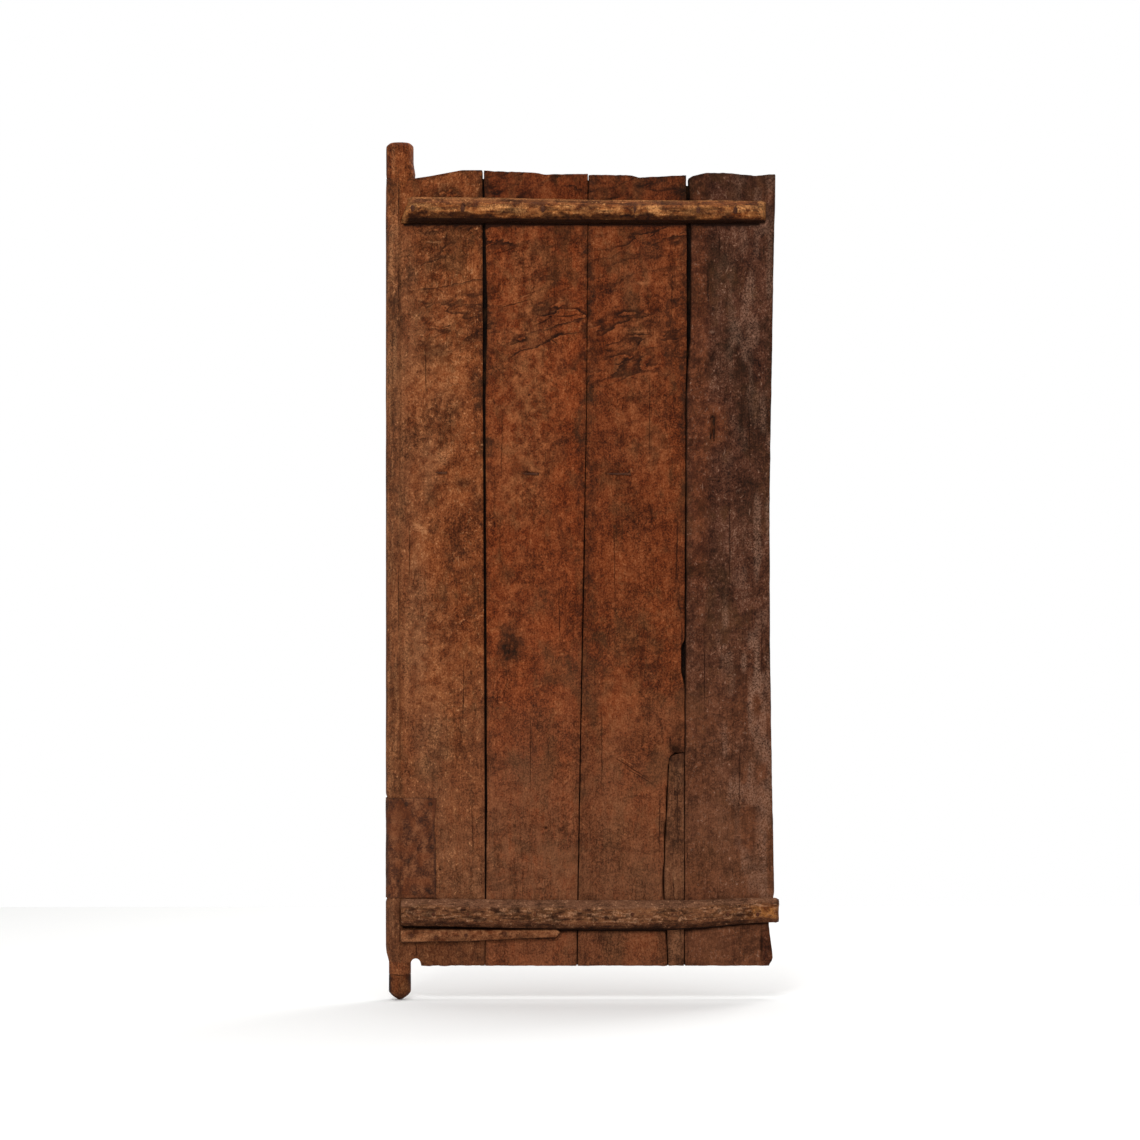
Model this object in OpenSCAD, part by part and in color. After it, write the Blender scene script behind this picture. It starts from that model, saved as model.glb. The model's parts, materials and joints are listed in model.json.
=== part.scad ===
// Pivot-hung plank door leaf, hand hewn.
// +Z is up. The pivot line is the Z axis, and the lower pintle's cone starts at the origin.
// The inner, ledged face looks toward -Y and the outer face toward +Y. The leading edge is at +X.

/* [Planks] */
// Thickness of the planks
plank_t = 44; // [40:1:44]
// Height of the planks' feet above the lower pintle's cone
plank_foot = 52; // [46:1:54]
// Height of the highest plank top above the lower pintle's cone
plank_top = 1644; // [1640:1:1660]
// Radius of the rounded hanging edge
stile_r = 26.5; // [26:0.5:30]
// Thickness of the loose tongues in the plank joints
tongue_t = 12; // [8:1:16]
// Width of the loose tongues
tongue_w = 30; // [24:1:32]

/* [Pintles] */
// Radius of the upper pintle
upper_pintle_r = 25.5; // [23:0.5:25.5]
// Height of the upper pintle's top above the lower pintle's cone
upper_pintle_top = 1700; // [1690:1:1720]
// Worn chamfer round the upper pintle's top
pintle_chamfer = 9; // [4:1:12]
// Radius of the lower pintle
lower_pintle_r = 21.5; // [18:0.5:21.5]
// Height of the lower pintle's cone
cone_h = 17; // [10:1:22]

/* [Ledges] */
// Height of the top ledge's centre line at the hanging side
top_ledge_z = 1563.5; // [1555:0.5:1570]
// Drop of the top ledge from the hanging side to the leading side
top_ledge_drop = 4.5; // [0:0.5:8]
// Radius of the top ledge at the hanging side
top_ledge_r1 = 26.5; // [24:0.5:28]
// Radius of the top ledge at the leading side
top_ledge_r2 = 22; // [20:0.5:24]
// Reach of the top ledge from the pivot line
top_ledge_len = 733; // [725:1:735]
// Height of the bottom ledge's centre line
bottom_ledge_z = 157; // [156:0.5:160]
// Radius of the bottom ledge
bottom_ledge_r = 29.5; // [27:0.5:30]
// Length of the bottom ledge
bottom_ledge_len = 754; // [740:1:756]
// Thickness of the tapered lath under the bottom ledge
lath_t = 12; // [8:1:15]
// Reach of the tapered lath from the pivot line
lath_len = 322; // [300:1:330]

/* [Outer rail] */
// Depth of the rail on the outer face
rail_t = 24; // [18:1:28]
// Height of the rail
rail_h = 50; // [40:1:54]
// Height of the rail's centre line above the lower pintle's cone
rail_z = 1034; // [1030:1:1036]

/* [Iron] */
// Radius of a nail's shank
nail_r = 2.6; // [2:0.1:3]
// Radius of a nail's head
nail_head_r = 7; // [5:0.5:9]
// Thickness of the sheet iron patch
patch_t = 1.6; // [1:0.2:2]
// Distance from the pull ring's centre line to its centre
ring_r = 33; // [28:1:36]
// Radius of the pull ring's bar
ring_bar_r = 4; // [3:0.5:4.5]
// Radius of the round hole worn in the cotter's eye, about which the ring swings
eye_hole_r = 7; // [6:0.5:8]

/* [Hidden] */
$fn = 64;

face_y = -plank_t / 2;             // inner face
back_y = plank_t / 2;              // outer face
step_w = stile_r - plank_t / 2;    // the rounded edge stands proud by this much
shoulder_z = plank_top - 16;       // the upper pintle is round and free above this
root_z = plank_foot + 4;           // the lower pintle is round and free below this
shoulder_h = 36;                   // height of the cone that leads the edge into the upper pintle
neck_r = plank_t / 2 - 0.5;        // radius of that cone at its foot, inside the wood
nose_share = 0.72;                 // radius of the lower cone half way down, over its radius
past = 20;                         // how far a cutting solid runs past the wood
reach = 100;                       // half size of a cutting solid that clears the whole thickness

// Plank joints from foot to top: height, edge on the hanging side, edge on the leading side
hanging_joint = [[plank_foot, 170.5, 172], [384, 170, 175.6], [804, 168, 174],
                 [1184, 165.5, 172.5], [1362, 165.5, 176.5], [1530, 165, 172.5],
                 [plank_top, 165, 169]];
middle_joint = [[plank_foot, 353.5, 356.5], [204, 355.8, 358.5], [564, 361.8, 364.5],
                [884, 368, 371], [1184, 373, 375.5], [1530, 375.5, 378],
                [plank_top - 7, 376, 379]];
// Edges that belong to one plank only, from foot to top: height, place
third_edge = [[plank_foot, 569.5], [610, 570], [640, 563], [690, 563], [706, 570],
              [1184, 571.5], [1310, 574], [1528, 573.5], [plank_top - 10, 572.5]];
leading_inner_edge = [[plank_foot, 571], [544, 571], [804, 572.8], [1184, 574],
                      [1242, 576], [1310, 582], [1528, 582.6], [1600, 580],
                      [plank_top - 16, 577.6]];
leading_outer_edge = [[plank_foot + 2, 739], [64, 746.5], [76, 746], [136, 738], [200, 749.5],
                      [430, 745], [700, 741], [1000, 740], [1184, 743], [1466, 748],
                      [plank_top - 10, 752]];
// Plank tops from the hanging side: place, drop below the highest top
hanging_top = [[26, 17], [60, 12], [128, 0], [165, 0]];
second_top = [[169, 0], [192, 2], [271, 5], [288, 8.5], [376, 7]];
third_top = [[379, 9], [462, 10], [480, 14.5], [572.5, 10]];
leading_top = [[577.6, 16], [590, 10], [615, 5], [657, 5.5], [710, 11], [747, 7.5], [752, 10]];

// Tongues: place at the planks' foot, place at the top, height of the top
hanging_tongue_line = [171, 168, plank_top - 16];
middle_tongue_line = [355, 377, plank_top - 19];
leading_tongue_line = [570.5, 578, plank_top - 30];
tongue_play = 0.4;

// Relief arch between the lower pintle and the hanging plank's foot
arch_r = 9.75;
arch_x = lower_pintle_r + 1 + arch_r;

// Filler strip let into a rebate in the third plank's inner face: height, place
rebate_depth = 30;
rebate_play = 0.3;
rebate_edge = [[plank_foot - past, 536.5], [122, 533.5], [200, 524.5], [330, 528],
               [440, 533.5], [474, 538.5], [480, 540.5]];
filler_inner_edge = [[plank_foot, 538], [122, 535.5], [188, 530], [222, 529.2], [314, 532.6],
                     [383, 536.2], [440, 538.6], [473, 541.2]];
filler_outer_x = 569;
filler_top_z = 479;

// The ledges stop at the step of the rounded hanging edge
ledge_x = step_w + 0.3;
ledge_end_slope = 0.75;            // how far the top ledge's ends lean back, over their depth
bottom_ledge_sunk = 3;             // the bottom ledge is less than half of its pole by this much
lath_root_h = 26;
lath_waist = [170, 23];            // place, height
lath_tip_h = 15;
lath_nose = 6;
rail_x = 8;
rail_len = 728;
rail_bevel = 5;

// Nails: place and height
top_nail_x = [27, 127, 287, 470, 597, 671];
bottom_nail_x = [69, 137, 270, 465, 543, 655, 715];
lath_nails_at = [[25, 114], [73, 110], [133, 114], [211, 118]];
rail_nails_at = [[92, rail_z + 4], [275, rail_z + 2], [457, rail_z + 2], [637, rail_z - 8]];
rail_clench_len = [19, 29, 44, 24];
ledge_clench_len = 16;
nail_head_h = 3.5;
head_taper = 0.5;                  // radius of a head's flat top, over the radius of its rim
head_lift = 0.1;                   // keeps a head clear of the curved crown under it
clench_t = 2.4;
hole_play = 0.05;

// The patch runs round the hanging edge: reach on the inner and outer face, foot and top
patch_inner_x = 73;
patch_outer_x = 45;
patch_z = [188, 388];
tacks_inner = [[62, 376], [66, 290], [62, 200], [17, 262], [14, 376], [30, 198]];
tacks_outer = [[14, 376], [36, 290], [30, 198]];
tack_r = 1.3;
tack_head_r = 4.5;
tack_head_h = 1.8;
tack_len = 16;

// Cotter, rose and ring on the leading plank
cotter_x = 627;
cotter_z = 1146;
cotter_bar = 5;
cotter_hole_r = 4;
eye_bar_r = 3;
eye_wear = 0.5;                    // depth that the ring has worn into the eye's bar
eye_centre_r = eye_hole_r + eye_bar_r - eye_wear;
rose_t = 2;
rose_r = 20;
eye_play = 0.3;
eye_y = back_y + rose_t + eye_centre_r + eye_bar_r + eye_play;
// The ring hangs in the eye's hole and swings about the eye's centre
ring_top_z = cotter_z - eye_hole_r + ring_bar_r + eye_play;
leg_t = 3;
// Outline of the two bent legs from the hole: side, height
leg_outline = [[3, 3], [2.2, -44], [-1.4, -44], [-1.2, -17], [-3.8, -23], [-4, -40],
               [-7.4, -40], [-7.2, -21], [-3, -9], [-3, 3]];

hewn = "#74452A";
hewn_dark = "#5A3A2B";
pole = "#8A5430";
iron = "#3B2C26";

function along(rows, k) = [for (row = rows) [row[k], row[0]]];
function backward(list) = [for (i = [len(list) - 1 : -1 : 0]) list[i]];
function lowered(tops) = [for (p = tops) [p[0], plank_top - p[1]]];

// A board with this outline in X and Z, between two depths
module board(outline, y0, y1) {
    translate([0, y1, 0]) rotate([90, 0, 0]) linear_extrude(y1 - y0) polygon(outline);
}

// A round bar along Y
module cross_bar(x, z, r, y0, y1) {
    translate([x, y1, z]) rotate([90, 0, 0]) cylinder(h = y1 - y0, r = r);
}

// The centre line of a tongue at height z
function tongue_x(line, z) =
    line[0] + (line[1] - line[0]) * (z - plank_foot) / (line[2] - plank_foot);

function tongue_outline(line, half, low, high) = [
    [tongue_x(line, low) - half, low], [tongue_x(line, low) + half, low],
    [tongue_x(line, high) + half, high], [tongue_x(line, high) - half, high]];

module tongue(line) {
    board(tongue_outline(line, tongue_w / 2, plank_foot + 1, line[2]), -tongue_t / 2, tongue_t / 2);
}

module tongue_groove(line) {
    half_t = tongue_t / 2 + tongue_play;
    board(tongue_outline(line, tongue_w / 2 + tongue_play, plank_foot - past, plank_top + past),
          -half_t, half_t);
}

// The ledges are poles split in half, with the split side against the inner face
function top_ledge_x(x) = x / top_ledge_len;
function top_ledge_centre(x) = top_ledge_z - top_ledge_drop * top_ledge_x(x);
function top_ledge_r(x) = top_ledge_r1 + (top_ledge_r2 - top_ledge_r1) * top_ledge_x(x);

top_nails_at = [for (x = top_nail_x) [x, top_ledge_centre(x)]];
bottom_nails_at = [for (x = bottom_nail_x) [x, bottom_ledge_z]];
through_nails = concat(top_nails_at, bottom_nails_at, lath_nails_at, rail_nails_at);

module nail_holes(points) {
    for (p = points) cross_bar(p[0], p[1], nail_r + hole_play, -reach, reach);
}

module tack_holes() {
    for (p = tacks_inner)
        cross_bar(p[0], p[1], tack_r + hole_play, face_y - past, face_y + tack_len + 1);
    for (p = tacks_outer)
        cross_bar(p[0], p[1], tack_r + hole_play, back_y - tack_len - 1, back_y + past);
}

// Plan of the rounded hanging edge, which stands proud of the faces by a small step
module stile_plan(grow = 0) {
    intersection() {
        circle(r = stile_r + grow, $fn = 128);
        translate([-reach, -reach]) square([reach, 2 * reach]);
    }
    polygon([[-0.5, -stile_r - grow], [grow / 2, -stile_r - grow],
             [step_w + grow / 2, face_y - grow], [step_w + grow / 2, back_y + grow],
             [grow / 2, stile_r + grow], [-0.5, stile_r + grow]]);
}

module upper_pintle() {
    free_top = upper_pintle_top - pintle_chamfer;
    translate([0, 0, shoulder_z - shoulder_h])
        cylinder(h = shoulder_h, r1 = neck_r, r2 = upper_pintle_r, $fn = 128);
    translate([0, 0, shoulder_z])
        cylinder(h = free_top - shoulder_z, r = upper_pintle_r, $fn = 128);
    translate([0, 0, free_top])
        cylinder(h = pintle_chamfer, r1 = upper_pintle_r, r2 = upper_pintle_r - pintle_chamfer,
                 $fn = 128);
}

module lower_pintle() {
    nose_r = lower_pintle_r * nose_share;
    nose_z = -cone_h * 0.5;
    translate([0, 0, root_z])
        cylinder(h = past, r1 = lower_pintle_r, r2 = stile_r, $fn = 128);
    cylinder(h = root_z, r = lower_pintle_r, $fn = 128);
    translate([0, 0, nose_z]) cylinder(h = -nose_z, r1 = nose_r, r2 = lower_pintle_r, $fn = 128);
    translate([0, 0, -cone_h])
        cylinder(h = cone_h + nose_z, r1 = nose_r / 3, r2 = nose_r, $fn = 128);
}

module hanging_plank() {
    foot_z = root_z + 1;
    outline = concat([[0, shoulder_z], [0, foot_z], [arch_x + arch_r, foot_z],
                      [arch_x + arch_r + 2, plank_foot]],
                     along(hanging_joint, 1), backward(lowered(hanging_top)));
    color(hewn) difference() {
        union() {
            board(outline, face_y, back_y);
            translate([0, 0, root_z + past])
                linear_extrude(shoulder_z - root_z - past) stile_plan();
            upper_pintle();
            lower_pintle();
        }
        cross_bar(arch_x, foot_z, arch_r, face_y - past, back_y + past);
        tongue_groove(hanging_tongue_line);
        nail_holes(through_nails);
        tack_holes();
    }
}

module second_plank() {
    outline = concat(along(hanging_joint, 2), lowered(second_top),
                     backward(along(middle_joint, 1)));
    color("#70402A") difference() {
        board(outline, face_y, back_y);
        tongue_groove(hanging_tongue_line);
        tongue_groove(middle_tongue_line);
        nail_holes(through_nails);
    }
}

module third_plank() {
    outline = concat(along(middle_joint, 2), lowered(third_top),
                     backward(along(third_edge, 1)));
    rebate_x = filler_outer_x + past;
    rebate = concat(along(rebate_edge, 1),
                    [[rebate_x, filler_top_z + 2], [rebate_x, plank_foot - past]]);
    color("#6A3E28") difference() {
        board(outline, face_y, back_y);
        board(rebate, face_y - past, face_y + rebate_depth + rebate_play);
        tongue_groove(middle_tongue_line);
        tongue_groove(leading_tongue_line);
        nail_holes(through_nails);
    }
}

module leading_plank() {
    outline = concat(along(leading_inner_edge, 1), lowered(leading_top),
                     backward(along(leading_outer_edge, 1)));
    color(hewn_dark) difference() {
        board(outline, face_y, back_y);
        tongue_groove(leading_tongue_line);
        nail_holes(through_nails);
        cross_bar(cotter_x, cotter_z, cotter_hole_r, face_y - past, back_y + past);
    }
}

module filler_strip() {
    outline = concat(along(filler_inner_edge, 1),
                     [[filler_outer_x, filler_top_z], [filler_outer_x, plank_foot]]);
    color("#5F3E2C") difference() {
        board(outline, face_y, face_y + rebate_depth);
        tongue_groove(leading_tongue_line);
        nail_holes(through_nails);
    }
}

module hanging_tongue() { color(pole) tongue(hanging_tongue_line); }
module middle_tongue() { color(pole) tongue(middle_tongue_line); }
module leading_tongue() { color(pole) tongue(leading_tongue_line); }

// A sloping cut across a ledge's end, from the base at x0 back toward the crown
module end_cut(x0, side) {
    cut_back = reach * ledge_end_slope;
    mirror([side < 0 ? 1 : 0, 0, 0]) translate([side * x0, face_y, 0])
        linear_extrude(2 * plank_top)
            polygon([[0, 0], [-cut_back, -reach], [reach, -reach], [reach, 0]]);
}

module top_ledge() {
    tilt = atan2(top_ledge_drop, top_ledge_len);
    color(pole) difference() {
        translate([0, face_y, top_ledge_z]) rotate([0, 90 + tilt, 0])
            cylinder(h = top_ledge_len, r1 = top_ledge_r1, r2 = top_ledge_r2, $fn = 96);
        translate([-past, face_y, 0]) cube([top_ledge_len + 2 * past, reach, 2 * plank_top]);
        end_cut(ledge_x, -1);
        end_cut(top_ledge_len - 1, 1);
        nail_holes(top_nails_at);
    }
}

module bottom_ledge() {
    color("#6E4A36") difference() {
        translate([ledge_x, face_y + bottom_ledge_sunk, bottom_ledge_z]) rotate([0, 90, 0])
            cylinder(h = bottom_ledge_len, r = bottom_ledge_r, $fn = 96);
        translate([-past, face_y, 0]) cube([bottom_ledge_len + 2 * past, reach, plank_top]);
        nail_holes(bottom_nails_at);
    }
}

module tapered_lath() {
    lath_top = bottom_ledge_z - bottom_ledge_r - 2;
    outline = [[ledge_x, lath_top], [ledge_x, lath_top - lath_root_h],
               [lath_waist[0], lath_top - lath_waist[1]],
               [lath_len - lath_nose, lath_top - lath_tip_h],
               [lath_len, lath_top - lath_tip_h + lath_nose],
               [lath_len, lath_top - lath_nose], [lath_len - lath_nose, lath_top]];
    color(pole) difference() {
        board(outline, face_y - lath_t, face_y);
        nail_holes(lath_nails_at);
    }
}

module outer_rail() {
    outer_y = back_y + rail_t;
    low = rail_z - rail_h / 2;
    high = rail_z + rail_h / 2;
    color(hewn_dark) difference() {
        translate([rail_x, 0, 0]) rotate([90, 0, 90]) linear_extrude(rail_len)
            polygon([[back_y, low], [outer_y - rail_bevel, low], [outer_y, low + rail_bevel],
                     [outer_y, high - rail_bevel], [outer_y - rail_bevel, high], [back_y, high]]);
        nail_holes(rail_nails_at);
    }
}

module edge_patch() {
    color("#4A3026") difference() {
        translate([0, 0, patch_z[0]]) linear_extrude(patch_z[1] - patch_z[0]) difference() {
            union() {
                stile_plan(patch_t);
                translate([0, face_y - patch_t]) square([patch_inner_x, plank_t / 2]);
                square([patch_outer_x, back_y + patch_t]);
            }
            stile_plan();
            translate([0, face_y]) square([reach, plank_t]);
        }
        tack_holes();
    }
}

// A forged nail along +Z: its head rests at the origin, and its tip is bent over along +X
module clenched_nail(grip, clench) {
    translate([0, 0, -nail_head_h])
        cylinder(h = nail_head_h, r1 = nail_head_r * head_taper, r2 = nail_head_r);
    cylinder(h = grip + clench_t, r = nail_r);
    translate([0, -nail_r * 0.8, grip]) cube([clench, nail_r * 1.6, clench_t]);
}

module toward_back() { rotate([-90, 0, 0]) children(); }
module toward_front() { rotate([90, 0, 0]) children(); }

module top_ledge_nails() {
    color(iron) for (p = top_nails_at) {
        crown_y = face_y - top_ledge_r(p[0]) - head_lift;
        translate([p[0], crown_y, p[1]]) toward_back()
            clenched_nail(back_y - crown_y, ledge_clench_len);
    }
}

module bottom_ledge_nails() {
    crown_y = face_y + bottom_ledge_sunk - bottom_ledge_r - head_lift;
    color(iron) for (p = bottom_nails_at)
        translate([p[0], crown_y, p[1]]) toward_back()
            clenched_nail(back_y - crown_y, ledge_clench_len);
}

module lath_nails() {
    color(iron) for (p = lath_nails_at)
        translate([p[0], face_y - lath_t, p[1]]) toward_back()
            clenched_nail(plank_t + lath_t, ledge_clench_len);
}

module rail_nails() {
    color(iron) for (i = [0 : len(rail_nails_at) - 1])
        translate([rail_nails_at[i][0], back_y + rail_t, rail_nails_at[i][1]]) toward_front()
            mirror([1, 0, 0]) clenched_nail(plank_t + rail_t, rail_clench_len[i]);
}

module tack() {
    translate([0, 0, -tack_head_h])
        cylinder(h = tack_head_h, r1 = tack_head_r * head_taper, r2 = tack_head_r, $fn = 32);
    cylinder(h = tack_len, r = tack_r, $fn = 32);
}

module patch_tacks() {
    color(iron) {
        for (p = tacks_inner)
            translate([p[0], face_y - patch_t, p[1]]) toward_back() tack();
        for (p = tacks_outer)
            translate([p[0], back_y + patch_t, p[1]]) toward_front() tack();
    }
}

// Split cotter: an eye on the outer face, and two legs bent down on the inner face
module latch_cotter() {
    shank_y = face_y - leg_t / 2;
    color(iron) {
        translate([cotter_x, eye_y, cotter_z]) rotate([0, 90, 0])
            rotate_extrude() intersection() {
                translate([eye_centre_r, 0]) circle(r = eye_bar_r, $fn = 32);
                translate([eye_hole_r, -eye_bar_r]) square(2 * eye_bar_r);
            }
        translate([cotter_x - cotter_bar / 2, shank_y, cotter_z - cotter_bar / 2])
            cube([cotter_bar, eye_y - eye_centre_r - shank_y, cotter_bar]);
        translate([cotter_x, 0, cotter_z]) board(leg_outline, face_y - leg_t, face_y);
    }
}

module ring_rose() {
    color(iron) difference() {
        cross_bar(cotter_x, cotter_z, rose_r, back_y, back_y + rose_t);
        cross_bar(cotter_x, cotter_z, cotter_hole_r, back_y - 1, back_y + rose_t + 1);
    }
}

module pull_ring() {
    color(iron) translate([cotter_x, eye_y, ring_top_z - ring_r]) rotate([90, 0, 0])
        rotate_extrude($fn = 96) translate([ring_r, 0]) circle(r = ring_bar_r, $fn = 32);
}

hanging_plank();
second_plank();
third_plank();
leading_plank();
filler_strip();
hanging_tongue();
middle_tongue();
leading_tongue();
top_ledge();
bottom_ledge();
tapered_lath();
outer_rail();
edge_patch();
top_ledge_nails();
bottom_ledge_nails();
lath_nails();
rail_nails();
patch_tacks();
latch_cotter();
ring_rose();
pull_ring();
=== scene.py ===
import json
import math

import bpy
import numpy as np
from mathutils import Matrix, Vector


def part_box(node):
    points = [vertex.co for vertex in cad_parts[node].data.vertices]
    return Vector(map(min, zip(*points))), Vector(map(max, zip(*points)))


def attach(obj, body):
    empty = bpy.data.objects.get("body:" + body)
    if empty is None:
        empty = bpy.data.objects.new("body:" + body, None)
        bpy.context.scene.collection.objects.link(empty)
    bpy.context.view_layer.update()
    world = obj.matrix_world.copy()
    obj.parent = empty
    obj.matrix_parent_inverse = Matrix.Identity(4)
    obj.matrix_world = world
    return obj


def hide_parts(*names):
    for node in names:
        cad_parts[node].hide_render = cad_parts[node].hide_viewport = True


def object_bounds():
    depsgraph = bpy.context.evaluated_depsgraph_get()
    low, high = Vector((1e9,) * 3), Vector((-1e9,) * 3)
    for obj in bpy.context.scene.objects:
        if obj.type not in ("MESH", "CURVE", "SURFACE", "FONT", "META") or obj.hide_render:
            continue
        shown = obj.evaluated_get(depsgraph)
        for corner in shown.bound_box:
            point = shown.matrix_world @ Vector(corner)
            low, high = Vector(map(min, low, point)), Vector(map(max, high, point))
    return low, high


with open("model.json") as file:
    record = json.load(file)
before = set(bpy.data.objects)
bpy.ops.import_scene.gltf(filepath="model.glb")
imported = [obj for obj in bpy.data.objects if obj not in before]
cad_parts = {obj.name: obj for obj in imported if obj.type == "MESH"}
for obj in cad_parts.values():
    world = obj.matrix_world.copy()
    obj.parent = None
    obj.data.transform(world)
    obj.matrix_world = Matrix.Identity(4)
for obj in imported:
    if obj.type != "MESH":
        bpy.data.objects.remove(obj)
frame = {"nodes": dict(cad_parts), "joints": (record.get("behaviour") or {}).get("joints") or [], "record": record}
cad_low, cad_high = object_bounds()

# Lengths are millimetres until a mesh is made. The leaf's inner face looks toward -Y.
MM = 0.001


def corners(node):
    """A CAD node's lowest and highest corner, in millimetres."""
    return [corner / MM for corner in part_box(node)]


FACE, BACK = (corner.y for corner in corners("leading_plank"))
THICK = BACK - FACE
FOOT = corners("second_plank")[0].z
TOP = corners("hanging_plank")[1].z
RIM_R = -corners("hanging_plank")[0].x
PINS = {m["name"]: m["dims"] for m in frame["record"]["mounts"]}
UPPER_R = PINS["upper_pintle"]["r_mm"]
LOWER_R = PINS["lower_pintle"]["r_mm"]
ROOT = PINS["lower_pintle"]["length_mm"]     # where the lower pintle leaves the hanging plank
TOP_SLOPES = 75                              # how far below TOP the planks' sides end

# How the hanging plank is cut.
STEP_X = RIM_R - THICK / 2                   # where its round edge meets the flat faces
SHOULDER = 1628
PIN_R = UPPER_R + 2
ARCH_X, ARCH_Z, ARCH_R = 32.3, ROOT + 1, 9.8
PIN_LINE = 34                                # a scribed line round the lower pintle

# Heights and ends of the pieces that lie on the planks.
LEDGE_TOP = 1588
TOP_LEDGE_LOW = corners("top_ledge")[0].z
LOW_LEDGE = [corner.z for corner in corners("bottom_ledge")]
LOW_LEDGE_MID = (LOW_LEDGE[1] + LOW_LEDGE[0]) / 2
LOW_LEDGE_R = (LOW_LEDGE[1] - LOW_LEDGE[0]) / 2
LATH_LOW = corners("tapered_lath")[0].z
LATH_END = corners("tapered_lath")[1].x
PATCH_LOW, PATCH_TOP = (corner.z for corner in corners("edge_patch"))
PATCH_REACH = corners("edge_patch")[1].x
REBATE_DEPTH = corners("filler_strip")[1].y - FACE

# Nails as (x, z, height of the crown, length of the bent tip), and tacks as (x, z).
LEDGE_CROWN = corners("bottom_ledge")[0].y + 1.5
LATH_CROWN = corners("tapered_lath")[0].y + 0.3
RAIL_CROWN = corners("outer_rail")[1].y
TOP_NAILS = [(x, 1565 - 0.006 * x, FACE - 26 + 0.006 * x, 16)
             for x in (27, 127, 287, 470, 597, 671)]
BOTTOM_NAILS = [(x, 157, LEDGE_CROWN, 16) for x in (69, 137, 270, 465, 543, 655, 715)]
LATH_NAILS = [(x, z, LATH_CROWN, 16) for x, z in ((25, 114), (73, 110), (133, 114), (211, 118))]
RAIL_NAILS = [(x, z, RAIL_CROWN, length) for x, z, length in
              ((92, 1038, 19), (275, 1036, 29), (457, 1036, 44), (637, 1026, 24))]
TACKS_IN = [(62, 376), (66, 290), (62, 200), (17, 262), (14, 376), (30, 198)]
TACKS_OUT = [(14, 376), (36, 290), (30, 198)]


# ---------------------------------------------------------------- numbers and noise

def srgb(r, g, b):
    """A colour given in the usual 0 to 255 steps, as linear light."""
    c = np.array([r, g, b]) / 255
    return tuple(np.where(c <= 0.04045, c / 12.92, ((c + 0.055) / 1.055) ** 2.4))


def smooth(low, high, value):
    t = np.clip((value - low) / (high - low), 0, 1)
    return t * t * (3 - 2 * t)


def noise(a, b, seed, size=128):
    """Smooth noise from 0 to 1 over two coordinates, which are counted in cells."""
    grid = np.random.default_rng(seed).random((size, size))
    ia, ib = np.floor(a).astype(int), np.floor(b).astype(int)
    ta, tb = smooth(0, 1, a - ia), smooth(0, 1, b - ib)

    def corner(da, db):
        return grid[(ia + da) % size, (ib + db) % size]

    low = corner(0, 0) * (1 - ta) + corner(1, 0) * ta
    high = corner(0, 1) * (1 - ta) + corner(1, 1) * ta
    return low * (1 - tb) + high * tb


def fractal(a, b, seed, octaves=4):
    """Sum of noises, each half as coarse and half as strong as the one before. About -1 to 1."""
    total = np.zeros(np.broadcast(a, b).shape)
    for k in range(octaves):
        total = total + (noise(a * 2 ** k, b * 2 ** k, seed + 17 * k) - 0.5) * 0.5 ** k
    return total


def turned(x, z, centre_x, centre_z, degrees):
    """Distances from a centre along a line at an angle to X, and across it."""
    c, s = math.cos(math.radians(degrees)), math.sin(math.radians(degrees))
    x, z = x - centre_x, z - centre_z
    return x * c + z * s, z * c - x * s


def blot(x, z, spot, soft=0.35):
    """1 inside an ellipse (x, z, half length, half width, degrees), falling to 0 at its rim."""
    centre_x, centre_z, length, width, degrees = spot[:5]
    along, across = turned(x, z, centre_x, centre_z, degrees)
    return 1 - smooth(1 - soft, 1 + soft, np.hypot(along / length, across / width))


def blots(x, z, spots):
    """The strongest of some soft ellipses, each with its strength as its last number."""
    level = np.zeros_like(x)
    for spot in spots:
        level = np.maximum(level, spot[5] * blot(x, z, spot, 0.6))
    return level


def painter(x, z, where):
    """Gives a function for the strongest of its layers, each an array or a list of ellipses."""
    def paint(*layers):
        level = np.zeros_like(x)
        for layer in layers:
            if isinstance(layer, list):
                layer = blots(x, z, layer) * where
            level = np.maximum(level, layer)
        return level
    return paint


# ---------------------------------------------------------------- meshes

def shell(across, deep, up):
    """A closed skin of quads over a box: each vertex's place along its sides, and the quads."""
    shape = (len(across), len(deep), len(up))
    grid = np.indices(shape)
    skin = np.zeros(shape, bool)
    for axis, count in enumerate(shape):
        skin |= (grid[axis] == 0) | (grid[axis] == count - 1)
    index = np.zeros(shape, int)
    index[skin] = np.arange(skin.sum())
    quads = []
    for axis in range(3):
        for end in (0, -1):
            sheet = np.take(index, end, axis=axis)
            ring = [sheet[:-1, :-1], sheet[1:, :-1], sheet[1:, 1:], sheet[:-1, 1:]]
            outward = (end == -1) != (axis == 1)
            quads.append(np.stack(ring if outward else ring[::-1], -1).reshape(-1, 4))
    i, j, k = (grid[axis][skin] for axis in range(3))
    return np.array(across)[i], np.array(deep)[j], np.array(up)[k], np.concatenate(quads)


def steps(count, ends=0.3):
    """Places from 0 to 1, closer together toward both ends."""
    t = np.linspace(0, 1, count)
    return t - ends * np.sin(2 * np.pi * t) / (2 * np.pi)


def rounded(point, low, high, r):
    """Draws a point of a box's skin in to the box with its edges rounded to radius r."""
    inner = [np.clip(p, a + r, b - r) for p, a, b in zip(point, low, high)]
    off = [p - q for p, q in zip(point, inner)]
    length = np.maximum(np.sqrt(sum(d * d for d in off)), 1e-9)
    return [q + d / length * np.minimum(r, length) for q, d in zip(inner, off)]


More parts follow.
